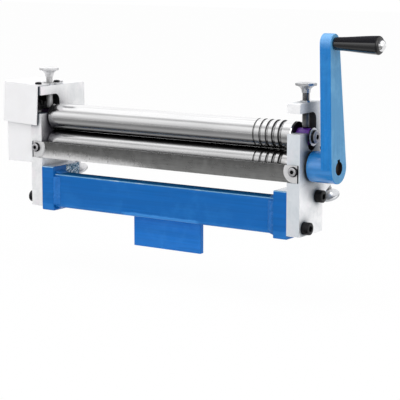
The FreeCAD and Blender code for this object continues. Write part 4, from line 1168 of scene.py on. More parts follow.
@dataclass
class SubAssembly:
    """Pieces that are built and dressed together."""

    nodes: dict[str, bpy.types.Object]
    paint: Paintbox

    def dress_node(self, name: str, *finishes: str) -> None:
        """Give a frame node that stays as it is its finish."""
        self.paint.dress(self.nodes[name], *finishes)

    def stand_in(self, piece: bpy.types.Object, body: str, finishes: Sequence[str],
                 node: str) -> bpy.types.Object:
        """Dress a piece, let it ride on a body and take the place of a frame node.

        Args:
            piece: the finished piece.
            body: the body that it rides on.
            finishes: its finishes, one for each material slot.
            node: the frame node that it replaces.

        Returns:
            The same piece.
        """
        self.paint.dress(piece, *finishes)
        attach(piece, body)
        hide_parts(node)
        LOG.info("%s: %d faces, for %s", piece.name, len(piece.data.polygons), node)
        return piece

    def ease_node(self, node: str, body: str, finishes: Sequence[str], width: float,
                  segments: int = 2, edge: str = "") -> bpy.types.Object:
        """Replace a frame node by a copy with rounded edges.

        Args:
            node: the frame node.
            body: the body that it rides on.
            finishes: its finishes, one for each material slot; the first covers it all.
            width: the rounding in millimetres.
            segments: faces across the rounding.
            edge: finish of the rounding, where it has its own.

        Returns:
            The new piece.
        """
        piece = whole_copy(self.nodes[node])
        self.paint.dress(piece, *finishes)
        bevel_edges(piece, width, segments, finishes.index(edge) if edge else -1)
        return self.stand_in(piece, body, finishes, node)

    def repaint(self, piece: bpy.types.Object, finish: str,
                wanted: Callable[[Vector, Vector], bool]) -> None:
        """Give one of a piece's finishes to some of its faces.

        Args:
            piece: the dressed piece.
            finish: the finish's name.
            wanted: called with a face's centre in millimetres and its normal.
        """
        paint_faces(piece, self.paint.materials[finish], wanted)


@dataclass
class WeldedFrame(SubAssembly):
    """Side plates, the blue welded base between them, the tie plate and their screws."""

    outer: float = 175.0
    inner: float = 160.0
    middle: float = 167.5
    front: float = -20.0
    slot_y: tuple[float, float] = (-4.3, 13.3)
    slot_z: tuple[float, float] = (62.0, 126.4)
    arm_z: float = 110.0
    tube_top: float = 38.0
    pad_x: float = 158.0
    tie_top: float = 73.5
    cap_places: tuple[tuple[float, float], ...] = ((-10.5, 8.5), (16.5, 38.0))
    tie_screw_z: float = 67.0

    def build(self) -> None:
        """Build and dress every piece of the frame."""
        self.plates()
        self.base()
        self.tie()
        self.screws()

    def plates(self) -> None:
        """Side plates with darker rounded edges."""
        for side in ("left", "right"):
            # painted shade in the slots, deepest on the left
            slot = "shaded_slot" if side == "right" else "dark_shaded_slot"
            finishes = ("ground_plate", "dark_plate_edge", slot, "shaded_plate_front", "inner_plate")
            piece = self.ease_node(f"side_plate_{side}", "frame", finishes, 0.45, edge="dark_plate_edge")
            self.repaint(piece, "inner_plate", self.faces_inward)
            # painted shade on the right plate's front below its arm
            self.repaint(piece, "shaded_plate_front", self.is_right_front)
            self.repaint(piece, slot, self.in_slot)

    def faces_inward(self, place: Vector, normal: Vector) -> bool:
        """Whether a face is on a plate's inner side, which looks at the other plate."""
        return abs(normal.x) > 0.9 and abs(place.x) < self.inner + 1.0

    def is_right_front(self, place: Vector, normal: Vector) -> bool:
        """Whether a face is the right plate's front edge, below its arm."""
        return normal.y < -0.9 and place.x > 0.0 and place.z < self.arm_z

    def in_slot(self, place: Vector, normal: Vector) -> bool:
        """Whether a face of a plate lies in the upper roll's slot or in the bore below it."""
        (front, back), (low, high) = self.slot_y, self.slot_z
        return abs(normal.x) < 0.3 and front < place.y < back and low < place.z < high

    def base(self) -> None:
        """Tube, end blocks, tongue and weld beads."""
        tube = self.ease_node("base_tube", "frame", ("blue_enamel", "shaded_top_enamel", "highlight_enamel"), 0.35)
        # painted shade on the tube's top
        self.repaint(tube, "shaded_top_enamel", lambda place, normal: normal.z > 0.9
                     and place.z > self.tube_top - 1.0)
        # painted highlight on the tube's front top corner
        self.repaint(tube, "highlight_enamel", lambda place, normal: 0.5 < normal.z < 0.86
                     and normal.y < -0.2)
        for side in ("left", "right"):
            block = self.ease_node(f"end_block_{side}", "frame",
                                   ("blue_enamel", "gloss_top", "flaked_enamel", "highlight_enamel"), 0.7)
            self.repaint(block, "gloss_top", lambda place, normal: normal.z > 0.95)
            # painted highlight on the blocks' front top corners
            self.repaint(block, "highlight_enamel", lambda place, normal: 0.3 < normal.z < 0.94
                         and normal.y < -0.3)
            self.repaint(block, "flaked_enamel", lambda place, normal: normal.x > 0.9 and place.x < 0.0)
            self.weld(f"tube_weld_{side}", "smooth_weld" if side == "left" else "weld_enamel")
        self.ease_node("vise_tongue", "frame", ("tongue_enamel",), 0.5)
        self.dress_node("tongue_weld", "tongue_enamel")

    def weld(self, node: str, finish: str) -> None:
        """Bead that bulges and ripples as it was laid down.

        Args:
            node: the frame's plain bead.
            finish: its finish.
        """
        piece = own_copy(self.nodes[node], f"{node}_laid")
        shape_with(piece, "REMESH", mode="VOXEL", voxel_size=0.45 * MM)
        shape_with(piece, "SMOOTH", factor=0.6, iterations=6)
        lumps = bpy.data.textures.new("weld_lumps", "CLOUDS")
        lumps.noise_scale = 3.5 * MM
        shape_with(piece, "DISPLACE", texture=lumps, texture_coords="LOCAL", strength=1.1 * MM,
                   mid_level=0.42)
        bpy.data.textures.remove(lumps)
        bpy.ops.object.shade_smooth()
        self.stand_in(piece, "frame", (finish,), node)

    def tie(self) -> None:
        """Tie plate with its brighter end pads."""
        piece = self.ease_node("tie_plate", "frame", ("tie_bar", "pad_steel_and_highlight", "shaded_tie_top", "pad_end_shade"), 0.35)
        self.repaint(piece, "pad_steel_and_highlight", lambda place, normal: place.y < self.front + 0.1
                     or abs(place.x) > self.pad_x - 3.0)
        # painted shade: the tie plate's top is near black
        self.repaint(piece, "shaded_tie_top", lambda place, normal: normal.z > 0.9 and abs(place.x) < self.pad_x)
        # painted highlight: the top front edge takes the pads' bright finish
        self.repaint(piece, "pad_steel_and_highlight", lambda place, normal: normal.z > 0.2 and normal.y < -0.2
                     and place.z > self.tie_top - 0.5)
        # painted shade on the right pad's side
        self.repaint(piece, "pad_end_shade", lambda place, normal: abs(normal.x) > 0.2 and place.x > self.pad_x)

    def screws(self) -> None:
        """Cap screws of the end blocks and button screws of the tie plate, each at its own turn."""
        cap = SocketScrew(head_d=13.0, head_h=8.0, shank_d=8.0, shank_l=24.0, socket=6.0, knurled=True)
        places = [((side * self.outer, y, z), (float(side), 0.0, 0.0), 12.0 * side + y)
                  for side in (1, -1) for y, z in self.cap_places]
        piece = set_of_screws("frame_cap_screws_knurled", cap, places)
        self.stand_in(piece, "frame", ("black_oxide_and_shade",), "frame_cap_screws")
        button = SocketScrew(head_d=10.5, head_h=3.3, shank_d=6.0, shank_l=12.0, socket=4.0, domed=True,
                             rim_w=0.75)
        places = [((side * self.middle, self.front, self.tie_screw_z), (0.0, -1.0, 0.0), 20.0 + 17 * side)
                  for side in (1, -1)]
        # painted shade: the screws' sockets and the rings round their feet are black
        finishes = ("button_zinc", "black_oxide_and_shade")
        piece = set_of_screws("tie_plate_screws_domed", button, places, self.paint.named(*finishes))
        self.stand_in(piece, "frame", finishes, "tie_plate_screws")


@dataclass
class RollStack(SubAssembly):
    """The geared pinch rolls, the rear roll, and their bushes, washers and end screws."""

    roll_r: float = 15.0
    journal_r: float = 7.0
    rear_journal_r: float = 6.0
    y: float = 4.5
    lower_z: float = 70.5
    upper_z: float = 100.8
    rear_place: tuple[float, float] = (36.0, 75.5)
    upper_half: float = 158.0
    lower_half: float = 159.5
    shaft_left: float = 190.7
    upper_right: float = 175.3
    lower_right: float = 203.0
    rear_reach: float = 174.5
    tapped_r: float = 4.03
    tapped_depth: float = 17.0
    key_w: float = 5.0
    key_floor_r: float = 4.0
    gear_keyway: tuple[float, float] = (-192.0, -179.0)
    crank_keyway: tuple[float, float] = (178.5, 204.0)
    key_lean: float = 5.2
    end_gap: float = 0.3
    washer_t: float = 1.6
    grooves: tuple[tuple[float, float], ...] = ((113.8, 1.0), (121.6, 1.3), (129.4, 1.6), (137.2, 1.9),
                                                (145.0, 2.2))

    def build(self) -> None:
        """Build and dress every piece on the three roll axes."""
        self.upper()
        self.lower()
        self.rear()

    def outline(self, half: float, left: float, right: float, journal: float, grooved: bool,
                tapped: tuple[bool, bool] = (False, False)) -> list[tuple[float, float]]:
        """Half outline of a roll with its journals.

        Args:
            half: half the length of the roll's body.
            left: distance to the left end of the shaft.
            right: distance to its right end.
            journal: radius of its journals.
            grooved: whether it carries the wire grooves.
            tapped: whether its left and its right end have a hole for a screw.

        Returns:
            (X, radius) pairs from the left end of the axis to the right.
        """
        profile = self.shaft_end(-left, 1, tapped[0])
        profile += [(-left, journal - 0.5), (0.5 - left, journal), (-half, journal),
                    (-half, self.roll_r - 0.8), (0.8 - half, self.roll_r)]
        if grooved:
            for middle, radius in self.grooves:
                for step in range(-90, 91, 18):
                    turn = math.radians(step)
                    profile.append((middle + radius * math.sin(turn),
                                    self.roll_r - radius * math.cos(turn)))
        profile += [(half - 0.8, self.roll_r), (half, self.roll_r - 0.8), (half, journal),
                    (right - 0.5, journal), (right, journal - 0.5)]
        return profile + self.shaft_end(right, -1, tapped[1])[::-1]

    def shaft_end(self, end: float, inward: int, tapped: bool) -> list[tuple[float, float]]:
        """Outline of a shaft's flat end, from the axis outwards.

        Args:
            end: the end's X.
            inward: 1 where the shaft lies to its right, and -1 where it lies to its left.
            tapped: whether the end has a hole for a screw.

        Returns:
            (X, radius) pairs.
        """
        if not tapped:
            return [(end, 0.0)]
        floor = end + inward * self.tapped_depth
        return [(floor, 0.0), (floor, self.tapped_r), (end, self.tapped_r)]

    def keyway(self, piece: bpy.types.Object, run: tuple[float, float], z: float, lean: float) -> None:
        """Cut a key's slot into the upper side of a shaft end.

        Args:
            piece: the roll.
            run: first and last X of the slot.
            z: height of the roll's axis.
            lean: the slot's turn round the axis, in degrees.
        """
        clear_selection()
        middle = (sum(run) / 2, 0.0, self.key_floor_r + self.key_w / 2)
        bpy.ops.mesh.primitive_cube_add(size=1.0, location=metres(middle),
                                        scale=metres((run[1] - run[0], self.key_w, self.key_w)))
        slot = bpy.context.object
        bpy.ops.object.transform_apply(location=True, rotation=True, scale=True)
        slot.data.transform(Matrix.Translation(metres((0.0, self.y, z)))
                            @ Matrix.Rotation(math.radians(lean), 4, "X"))
        carve(piece, slot)

    def upper(self) -> None:
        """Upper pinch roll and what turns or lifts with it."""
        centre, axis = (0.0, self.y, self.upper_z), (1.0, 0.0, 0.0)
        profile = self.outline(self.upper_half, self.shaft_left, self.upper_right, self.journal_r, True,
                               (True, True))
        roll = lathe("upper_roll_ground", profile, centre, axis, 128)
        self.keyway(roll, self.gear_keyway, self.upper_z, 0.0)
        self.stand_in(roll, "pinch_roll", ("polished_roll", "groove_shade"), "upper_roll")
        self.shade_groove_walls(roll, self.upper_z)
        rings = [lathe(f"thrust_{side}", ring_outline(7.03, 14.5, 1.5, 0.3),
                       (sign * self.upper_half, self.y, self.upper_z), (float(sign), 0.0, 0.0), 96)
                 for side, sign in (("right", 1), ("left", -1))]
        self.stand_in(join("thrust_washers_turned", rings), "pinch_roll", ("black_oxide_and_shade",), "thrust_washers")
        ends = ((self.upper_right, 1, 8.0), (self.shaft_left, -1, 21.0))
        rings = [self.end_washer(f"end_{number}", reach, sign, self.upper_z)
                 for number, (reach, sign, _) in enumerate(ends)]
        washers = join("upper_end_washers", rings)
        self.stand_in(washers, "pinch_roll", ("washer_zinc", "black_oxide_and_shade"), "upper_roll_end_washers")
        # painted shade: the washers' rims are black
        self.repaint(washers, "black_oxide_and_shade", lambda place, normal: abs(normal.x) < 0.98)
        self.end_screws("upper_end_screws", ends, self.upper_z, "pinch_roll", "upper_roll_end_screws")
        # the left bush is a near black copy of the right one: painted shade
        for side, finish in (("left", "shaded_bush"), ("right", "purple_bush")):
            self.ease_node(f"upper_bush_{side}", "upper_bushes", (finish,), 0.5)
        self.dress_node("upper_gear", "cut_gear")
        self.dress_node("upper_gear_key", "drawn_bar")

    def lower(self) -> None:
        """Driven roll with its gear, bushes and end screw."""
        centre, axis = (0.0, self.y, self.lower_z), (1.0, 0.0, 0.0)
        profile = self.outline(self.lower_half, self.shaft_left, self.lower_right, self.journal_r, True,
                               (True, False))
        roll = lathe("lower_roll_ground", profile, centre, axis, 128)
        self.keyway(roll, self.gear_keyway, self.lower_z, self.key_lean)
        self.keyway(roll, self.crank_keyway, self.lower_z, self.key_lean)
        self.stand_in(roll, "drive_roll", ("polished_roll", "groove_shade", "dark_bore"), "lower_roll")
        self.shade_groove_walls(roll, self.lower_z)
        # painted shade: the shaft's end inside the crank is near black
        self.repaint(roll, "dark_bore", lambda place, normal: place.x > self.crank_keyway[0] - 0.5)
        washer = self.end_washer("lower_end_washer", self.shaft_left, -1, self.lower_z)
        self.stand_in(washer, "drive_roll", ("bright_zinc",), "lower_roll_end_washer")
        self.end_screws("lower_end_screw", ((self.shaft_left, -1, 4.0),), self.lower_z, "drive_roll",
                        "lower_roll_end_screw")
        for side in ("left", "right"):
            self.ease_node(f"lower_bush_{side}", "frame", ("bearing_bronze",), 0.3)
        self.dress_node("lower_gear", "cut_gear")
        self.dress_node("lower_gear_key", "drawn_bar")

    def shade_groove_walls(self, roll: bpy.types.Object, z: float) -> None:
        """Paint the left walls of the wire grooves dark, as painted shade.

        Args:
            roll: the roll, which has that finish.
            z: height of its axis.
        """
        for middle, radius in self.grooves:
            self.repaint(roll, "groove_shade", lambda place, normal: -1.05 < (place.x - middle) / radius
                         < -0.62 and math.hypot(place.y - self.y, place.z - z) < self.roll_r - 0.01)

    def rear(self) -> None:
        """Rear bending roll in its two sliding blocks."""
        profile = self.outline(self.lower_half, self.rear_reach, self.rear_reach, self.rear_journal_r, False)
        roll = lathe("rear_roll_ground", profile, (0.0, *self.rear_place), (1.0, 0.0, 0.0), 112)
        self.stand_in(roll, "bending_roll", ("polished_roll",), "rear_roll")
        for side in ("left", "right"):
            self.ease_node(f"rear_block_{side}", "rear_blocks", ("bearing_bronze",), 0.4)

    def end_washer(self, name: str, reach: float, sign: int, z: float) -> bpy.types.Object:
        """Plain washer over a shaft end.

        Args:
            name: the new object's name.
            reach: distance of the shaft's end from the middle.
            sign: 1 at the right and -1 at the left.
            z: height of the roll's axis.

        Returns:
            The washer.
        """
        place = (sign * (reach + self.end_gap), self.y, z)
        return lathe(name, ring_outline(4.2, 9.5, self.washer_t, 0.2), place,
                     (float(sign), 0.0, 0.0), 72)

    def end_screws(self, name: str, ends: Sequence[tuple[float, int, float]], z: float, body: str,
                   node: str) -> None:
        """Domed screws that hold the washers on the shaft ends.

        Args:
            name: the new piece's name.
            ends: reach, side and turn of each screw.
            z: height of the roll's axis.
            body: the body that they ride on.
            node: the frame node that they replace.
        """
        # painted shade: the screws' sockets and the rings round their feet are black
        finishes = ("screw_grey", "black_oxide_and_shade")
        screw = SocketScrew(head_d=14.0, head_h=4.4, shank_d=8.0, shank_l=16.0, socket=4.96, domed=True,
                            rim_w=0.4)
        places = [((sign * (reach + self.end_gap + self.washer_t), self.y, z), (float(sign), 0.0, 0.0), turn)
                  for reach, sign, turn in ends]
        piece = set_of_screws(name, screw, places, self.paint.named(*finishes))
        self.stand_in(piece, body, finishes, node)


@dataclass
class Adjusters(SubAssembly):
    """Pressure screws and rear screws with their knurled knobs."""

    x: float = 167.5
    press_tip: tuple[float, float] = (4.5, 109.5)
    press_l: float = 46.0
    rear_tip: tuple[float, float] = (40.353, 66.165)
    rear_l: float = 38.5
    rear_slope: float = 65.0
    knob_r: float = 11.0
    knob_h: float = 10.0
    neck_r: float = 4.6
    thread_r: float = 4.0
    bore_r: float = 4.03
    pitch: float = 1.25

    def build(self) -> None:
        """Build the two pressure screws and the two rear screws."""
        slope = math.radians(self.rear_slope)
        up, down = (0.0, 0.0, 1.0), (0.0, math.cos(slope), -math.sin(slope))
        knob = self.knob()
        press_rod, rear_rod = self.rod(self.press_l), self.rod(self.rear_l)
        for side, sign in (("left", -1), ("right", 1)):
            x = sign * self.x
            self.adjuster(f"pressure_{side}", ("pressure", side), (knob, press_rod), self.press_l,
                          stood((x, *self.press_tip), up, 0.0), 9.0 * sign)
            self.adjuster(f"rear_adjuster_{side}", ("rear", side), (knob, rear_rod), self.rear_l,
                          stood((x, *self.rear_tip), down, 0.0), 5.0 * sign)
        for pattern in (knob, press_rod, rear_rod):
            bpy.data.objects.remove(pattern, do_unlink=True)
        self.dress_node("pressure_screw_collars", "bright_zinc")

    def adjuster(self, body: str, place: tuple[str, str], patterns: Sequence[bpy.types.Object],
                 length: float, stand: Matrix, turn: float) -> None:
        """Copy a knob and its rod to one of their places.

        Args:
            body: the body that they ride on.
            place: pressure or rear, and left or right.
            patterns: the knob, with its top at the origin, and the rod, with its tip there.
            length: the rod's length.
            stand: where the rod's tip goes, and the way that the rod points from it.
            turn: the knob's turn in degrees.
        """
        use, side = place
        near = side == "right"
        knob, rod = patterns
        top = Matrix.Translation((0.0, 0.0, length * MM)) @ Matrix.Rotation(math.radians(turn), 4, "Z")
        piece = turned_copy(knob, f"{use}_knob_{side}_turned", stand @ top)
        # the left knob and screw take paler copies of the right ones' finishes: painted light
        self.stand_in(piece, body, ("turned_knob" if near else "pale_knob",), f"{use}_knob_{side}")
        piece = turned_copy(rod, f"{use}_screw_{side}_threaded", stand)
        self.stand_in(piece, body, ("screw_thread" if near else "pale_thread",), f"{use}_screw_{side}")

    def knob(self) -> bpy.types.Object:
        """Knurled disc over a flared neck, its top at the origin and its neck below.

        Returns:
            The knob.
        """
        foot, rim, neck = -self.knob_h, self.knob_r, self.neck_r
        profile = [(foot, self.bore_r), (foot, neck - 0.15), (foot + 0.15, neck)]
        for step in range(1, 11):
            share = step / 10
            profile.append((foot + 0.15 + 6.35 * share, neck + 3.65 * share ** 2.6))
        profile += [(-3.0, 9.2), (-2.9, rim - 0.4), (-2.6, rim), (-0.5, rim), (-0.25, rim - 0.15),
                    (-0.1, rim - 0.6), (0.0, 9.6), (-0.12, 8.9), (0.0, 5.2), (0.0, self.bore_r),
                    (foot, self.bore_r)]
        piece = lathe("knob_pattern", profile, (0.0, 0.0, 0.0), (0.0, 0.0, 1.0), 120, 28.0)
        press_ribs(piece, 3.0, 0.972, lambda place: math.hypot(place.x, place.y) > rim - 0.1)
        return piece

    def rod(self, length: float) -> bpy.types.Object:
        """Threaded rod up its own Z from a pointed tip.

        Args:
            length: its length.

        Returns:
            The rod.
        """
        root, crest, z = self.thread_r - 0.6, self.thread_r - 0.04, 1.2
        profile = [(0.0, 0.0), (0.0, root - 0.6), (z, root)]
        while z + self.pitch < length - self.knob_h - 0.5:
            profile += [(z + self.pitch * share, radius) for share, radius in
                        ((0.42, crest), (0.58, crest), (1.0, root))]
            z += self.pitch
        profile += [(z + 0.5, self.thread_r), (length - 0.4, self.thread_r), (length, self.thread_r - 0.4),
                    (length, 0.0)]
        return lathe("rod_pattern", profile, (0.0, 0.0, 0.0), (0.0, 0.0, 1.0), 48)


@dataclass
class Crank(SubAssembly):
    """Tapered arm, its key and grub screw, and the revolving grip."""

    axis: tuple[float, float] = (4.5, 70.5)
    bore_r: float = 10.2
    boss_end: float = 194.4
    grip_axis: tuple[float, float] = (-7.01, 196.976)
    grip_start: float = 207.0
    grip_l: float = 50.0
    grip_r: float = 9.4
    neck_r: float = 6.55
    spindle_r: float = 4.05
    recess_r: float = 5.8
    cap_r: float = 6.0

    def build(self) -> None:
        """Build and dress the crank."""
        arm = self.ease_node("crank_arm", "drive_roll",
                             ("crank_enamel", "lit_crank_side", "dark_bore", "boss_enamel"), 0.8, 3)
        # the boss's paler colour is a painted highlight
        self.repaint(arm, "boss_enamel", lambda place, normal: place.x < self.boss_end
                     and self.outside_bore(place))
        # painted light: the arm's outer side is paler
        self.repaint(arm, "lit_crank_side", lambda place, normal: normal.x > 0.9)
        # painted shade in the bore
        self.repaint(arm, "dark_bore", lambda place, normal: abs(normal.x) < 0.3
                     and not self.outside_bore(place))
        self.dress_node("crank_key", "dark_bore")
        self.dress_node("crank_grub_screw", "black_oxide_and_shade")
        self.dress_node("grip_spindle", "bright_zinc")
        self.grip()

    def outside_bore(self, place: Vector) -> bool:
        """Whether a face's centre lies outside the boss's bore and keyway."""
        return math.hypot(place.y - self.axis[0], place.z - self.axis[1]) > self.bore_r

    def grip(self) -> None:
        """Gloss sleeve that swells outwards, and its chromed cap."""
        centre, along = (self.grip_start, *self.grip_axis), (1.0, 0.0, 0.0)
        end, swell, ease = self.grip_l, self.grip_r - self.neck_r, 3.0
        profile = [(0.0, self.spindle_r), (0.0, self.neck_r - 0.45), (0.35, self.neck_r)]
        for step in range(1, 21):
            share = step / 20
            rise = math.sin(math.pi / 2 * share) * share ** 0.5
            profile.append((0.35 + (end - ease - 0.35) * share, self.neck_r + swell * rise))
        for step in range(1, 9):
            turn = math.radians(90 * step / 8)
            profile.append((end - ease * (1.0 - math.sin(turn)), self.grip_r - ease * (1.0 - math.cos(turn))))
        floor = self.box_x("grip_spindle")[1] - self.grip_start - 2.6
        profile += [(end, self.cap_r), (end - 0.2, self.recess_r), (floor, self.recess_r),
                    (floor, self.spindle_r), (0.0, self.spindle_r)]
        sleeve = lathe("grip_sleeve_moulded", profile, centre, along, 96)
        self.stand_in(sleeve, "crank_grip", ("black_grip", "grip_rim"), "grip_sleeve")
        self.repaint(sleeve, "grip_rim", lambda place, normal: normal.x > 0.25)
        low, high = (x - self.grip_start for x in self.box_x("grip_cap"))
        profile = [(low, 0.0), (low, self.recess_r - 0.1), (end, self.recess_r - 0.1), (end, self.cap_r)]
        for step in range(1, 12):
            turn = math.radians(90 * step / 12)
            profile.append((end + (high - end) * math.sin(turn), self.cap_r * math.cos(turn)))
        cap = lathe("grip_cap_domed", profile + [(high, 0.0)], centre, along, 64)
        self.stand_in(cap, "crank_grip", ("cap_chrome",), "grip_cap")

    @staticmethod
    def box_x(node: str) -> tuple[float, float]:
        """Lowest and highest X of a frame node.

        Args:
            node: the node's name.

        Returns:
            The two, in millimetres.
        """
        low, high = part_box(node)
        return low[0] / MM, high[0] / MM


@dataclass
class GearGuard(SubAssembly):
    """Two folded sheet covers over the gears, with their screws."""

    centre: Point = (-192.0, 8.0, 95.0)
    seats: tuple[tuple[Point, Point, float], ...] = (
        ((-167.5, -15.0, 138.05), (0.0, 0.0, 1.0), 10.0), ((-167.5, 17.5, 138.05), (0.0, 0.0, 1.0), 33.0),
        ((-176.5, -11.0, 55.25), (-1.0, 0.0, 0.0), 0.0), ((-176.5, 27.7, 55.25), (-1.0, 0.0, 0.0), 15.0))

    def build(self) -> None:
        """Build and dress the covers and their screws."""
        for node in ("guard_upper", "guard_lower"):
            piece = self.ease_node(node, "frame", ("white_coat", "shaded_guard_inside"), 0.3)
            # painted shade on the covers' inner faces
            self.repaint(piece, "shaded_guard_inside", self.faces_gears)
        screw = SocketScrew(head_d=7.6, head_h=2.2, shank_d=4.0, shank_l=8.0, socket=2.48, domed=True)
        piece = set_of_screws("guard_screws_domed", screw, self.seats)
        self.stand_in(piece, "frame", ("black_oxide_and_shade",), "guard_screws")

    def faces_gears(self, place: Vector, normal: Vector) -> bool:
        """Whether a face of a cover looks inwards, at the middle of the gears."""
        return normal.dot(Vector(self.centre) - place) > 4.0


# ------------------------------------------------------------------------------ stage


def seen_ray(tree: bpy.types.NodeTree) -> Socket:
    """Share of the rays that look at a surface from the camera, a reflection or glass.

    Args:
        tree: the node tree of a material or the world.

    Returns:
        1 for such a ray, and 0 for one that gathers light.
    """
    path = tree.nodes.new("ShaderNodeLightPath")
    seen = path.outputs["Is Camera Ray"]
    for name in ("Is Glossy Ray", "Is Transmission Ray"):
        either = tree.nodes.new("ShaderNodeMath")
        either.operation = "MAXIMUM"
        tree.links.new(seen, either.inputs[0])
        tree.links.new(path.outputs[name], either.inputs[1])
        seen = either.outputs[0]
    return seen


@dataclass
class Studio:
    """Pale floor, soft lamps, cards for the steel to reflect, and the camera."""

    camera_at: Point = (907.1, -1303.1, 294.7)
    azimuth: float = 33.68
    elevation: float = 8.47
    lens: float = 133.47
    shift: tuple[float, float] = (0.00525, -0.08875)
    sky_light: float = 0.55
    floor_z: float = -72.0
    floor_white: float = 0.97
    card_at: Point = (-400.0, 4.5, 88.0)
    card_r: float = 1200.0
    card_l: float = 3600.0
    card_arc: tuple[float, float] = (-5.0, 179.5)
    low_card_y: float = -26.0
    low_card_z: float = -31.0
    grip_card_at: Point = (206.0, -7.0, 197.0)
    grip_card_r: float = 60.0
    grip_card_l: float = 125.0
    grip_card_arc: tuple[float, float] = (28.0, 178.0)
    grip_card_grey: Colour = (0.13, 0.13, 0.15)
    front_greys: tuple[tuple[float, float], ...] = (
        (-12.0, 0.2), (180.0, 1.1), (-5.0, 0.33), (0.0, 0.5), (12.0, 0.84), (20.0, 1.05), (33.0, 1.15),
        (40.0, 1.05), (50.0, 0.62), (58.0, 0.85), (66.0, 1.3), (74.0, 1.45), (100.0, 1.42), (120.0, 1.36),
        (156.0, 1.24))
    low_greys: tuple[tuple[float, float], ...] = (
        (-26.0, 0.06), (-626.0, 0.34), (-62.0, 0.1), (-86.0, 0.26), (-122.0, 0.48), (-182.0, 0.42),
        (-278.0, 0.27), (-446.0, 0.28))
    brightest: float = 1.5

    def build(self) -> None:
        """Set up the whole studio."""
        self.camera()
        self.world()
        self.floor()
        self.lamps()
        self.cards()
        self.grip_card()

    def camera(self) -> None:
        """Camera at the viewing angle."""
        turn, tilt = math.radians(self.azimuth), math.radians(self.elevation)
        look = Vector((-math.sin(turn) * math.cos(tilt), math.cos(turn) * math.cos(tilt), -math.sin(tilt)))
        data = bpy.data.cameras.new("camera")
        data.sensor_width, data.lens = 36.0, self.lens
        data.shift_x, data.shift_y = self.shift
        data.clip_start, data.clip_end = 0.05, 50.0
        camera = bpy.data.objects.new("camera", data)
        bpy.context.scene.collection.objects.link(camera)
        camera.location = metres(self.camera_at)
        camera.rotation_euler = look.to_track_quat("-Z", "Y").to_euler()
        bpy.context.scene.camera = camera

    def world(self) -> None:
        """Even sky: white to the camera and in reflections, softer as a light."""
        world = bpy.data.worlds.new("studio")
        bpy.context.scene.world = world
        world.use_nodes = True
        tree = world.node_tree
        level = tree.nodes.new("ShaderNodeMapRange")
        level.inputs["To Min"].default_value = self.sky_light
        level.inputs["To Max"].default_value = 1.0
        tree.links.new(seen_ray(tree), level.inputs["Value"])
        tree.links.new(level.outputs["Result"], tree.nodes["Background"].inputs["Strength"])
        tree.nodes["Background"].inputs["Color"].default_value = (1.0, 1.0, 1.0, 1.0)

    def floor(self) -> None:
        """Wide pale floor below the crank's sweep; it fades to white and keeps a soft shadow."""
        clear_selection()
        bpy.ops.mesh.primitive_plane_add(size=12.0, location=metres((0.0, 0.0, self.floor_z)))
        floor = bpy.context.object
        floor.name = "floor"
        material = bpy.data.materials.new("pale_floor")
        material.use_nodes = True
        tree = material.node_tree
        surface, output = tree.nodes["Principled BSDF"], tree.nodes["Material Output"]
        surface.inputs["Base Color"].default_value = (0.8, 0.8, 0.8, 1.0)
        surface.inputs["Roughness"].default_value = 0.9
        share = tree.nodes.new("ShaderNodeMath")
        share.operation = "MULTIPLY"
        share.inputs[1].default_value = self.floor_white
        tree.links.new(seen_ray(tree), share.inputs[0])
        white = tree.nodes.new("ShaderNodeEmission")
        white.inputs["Color"].default_value = (1.0, 1.0, 1.0, 1.0)
        both = tree.nodes.new("ShaderNodeMixShader")
        tree.links.new(share.outputs[0], both.inputs[0])
        tree.links.new(surface.outputs[0], both.inputs[1])
        tree.links.new(white.outputs[0], both.inputs[2])
        tree.links.new(both.outputs[0], output.inputs["Surface"])
        floor.data.materials.append(material)

    def lamps(self) -> None:
        """Soft overhead lamp and two weak side lamps."""
        for name, place, aim, size, power in (
                ("overhead", (-150.0, -250.0, 1500.0), (0.0, 0.0, 80.0), 1.5, 16.0),
                ("right_fill", (1500.0, -300.0, 700.0), (0.0, 0.0, 80.0), 1.0, 8.0),
                ("front_fill", (-500.0, -1700.0, 600.0), (0.0, 0.0, 80.0), 1.0, 7.0)):
            data = bpy.data.lights.new(name, "AREA")
            data.shape, data.size, data.energy = "SQUARE", size, power
            lamp = bpy.data.objects.new(name, data)
            bpy.context.scene.collection.objects.link(lamp)
            lamp.location = metres(place)
            lamp.rotation_euler = (metres(aim) - lamp.location).to_track_quat("-Z", "Y").to_euler()

    def cards(self) -> None:
        """Curved card over the machine and flat card below it, out of sight, for the steel to reflect."""
        card = self.curved_card("front_card", self.card_at, (self.card_r, self.card_l), self.card_arc, 180)
        self.light_card(card, True)
        clear_selection()
        middle = (self.card_at[0], self.low_card_y - self.card_r / 2, self.low_card_z)
        bpy.ops.mesh.primitive_plane_add(size=1.0, location=metres(middle))
        card = bpy.context.object
        card.name = "low_card"
        bpy.ops.transform.resize(value=(self.card_l * MM, self.card_r * MM, 1.0))
        bpy.ops.object.transform_apply(location=True, rotation=True, scale=True)
        self.light_card(card, False)

    def grip_card(self) -> None:
        """Dim curved card over the grip, which leaves its gloss one narrow streak."""
        card = self.curved_card("grip_card", self.grip_card_at, (self.grip_card_r, self.grip_card_l),
                                self.grip_card_arc, 144)
        card.data.materials.append(Shade(card.name).glow(self.grip_card_grey))
        self.hide(card)

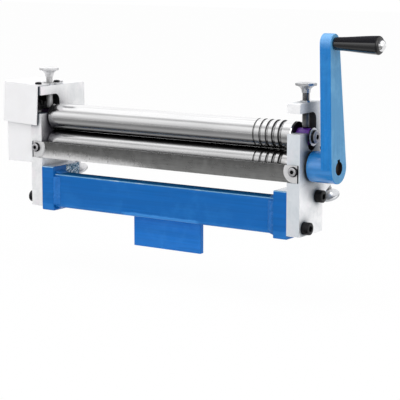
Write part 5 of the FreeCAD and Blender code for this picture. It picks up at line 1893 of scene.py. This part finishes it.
    @staticmethod
    def curved_card(name: str, centre: Point, size: tuple[float, float], arc: tuple[float, float],
                    steps: int) -> bpy.types.Object:
        """Part of an open tube that lies along X.

        Args:
            name: the card's name.
            centre: the tube's middle.
            size: its radius and its length.
            arc: first and last height angle that is kept, in degrees, from the front over the top.
            steps: faces round the whole tube.

        Returns:
            The card.
        """
        clear_selection()
        radius, length = (part * MM for part in size)
        bpy.ops.mesh.primitive_cylinder_add(vertices=steps, radius=radius, depth=length,
                                            end_fill_type="NOTHING", location=metres(centre),
                                            rotation=(0.0, math.radians(90.0), 0.0))
        card = bpy.context.object
        card.name = name
        bpy.ops.object.transform_apply(location=True, rotation=True, scale=True)
        bpy.ops.object.mode_set(mode="EDIT")

        def unused(place: Vector, _normal: Vector) -> bool:
            """Whether a face of the tube lies outside the arc."""
            turn = math.degrees(math.atan2(place.z - centre[2], centre[1] - place.y))
            return not arc[0] < turn < arc[1]

        pick(card, "FACE", unused)
        bpy.ops.mesh.delete(type="FACE")
        bpy.ops.object.mode_set(mode="OBJECT")
        return card

    def light_card(self, card: bpy.types.Object, curved: bool) -> None:
        """Give a card its greys, by height angle or by distance, and hide it from all but reflections.

        The first two stops of its greys are the two ends of the ramp.

        Args:
            card: the card.
            curved: True for the upright card, False for the one under the machine.
        """
        shade = Shade(card.name)
        if curved:
            _, y, z = metres(self.card_at)
            rise = shade.combine(shade.axis("Z"), z, "SUBTRACT")
            value = shade.combine(rise, shade.combine(y, shade.axis("Y"), "SUBTRACT"), "ARCTAN2")
            stops, unit = self.front_greys, math.radians(1.0)
        else:
            value, stops, unit = shade.axis("Y"), self.low_greys, MM
        start, end = stops[0][0], stops[1][0]
        ramp = shade.tree.nodes.new("ShaderNodeValToRGB")
        shade.feed(ramp.inputs[0], shade.span(value, start * unit, end * unit))
        elements = ramp.color_ramp.elements
        for number, (place, grey) in enumerate(stops):
            place, grey = (place - start) / (end - start), grey / self.brightest
            stop = elements[number] if number < 2 else elements.new(place)
            stop.position, stop.color = place, (grey, grey, grey, 1.0)
        card.data.materials.append(shade.glow(ramp.outputs["Color"], self.brightest))
        self.hide(card)

    @staticmethod
    def hide(card: bpy.types.Object) -> None:
        """Keep a card out of everything but reflections.

        Args:
            card: the card.
        """
        card.visible_camera = False
        card.visible_diffuse = False
        card.visible_shadow = False


def main() -> None:
    """Load the frame, then build the studio and every sub-assembly."""
    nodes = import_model()["nodes"]
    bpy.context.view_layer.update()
    bpy.context.scene.view_settings.view_transform = "Standard"
    Studio().build()
    paint = Paintbox()
    for kind in (WeldedFrame, RollStack, Adjusters, Crank, GearGuard):
        kind(nodes, paint).build()
        LOG.info("%s built", kind.__name__)


if __name__ == "__main__":
    logging.basicConfig(level=logging.INFO, format="%(message)s", stream=sys.stdout)
    main()
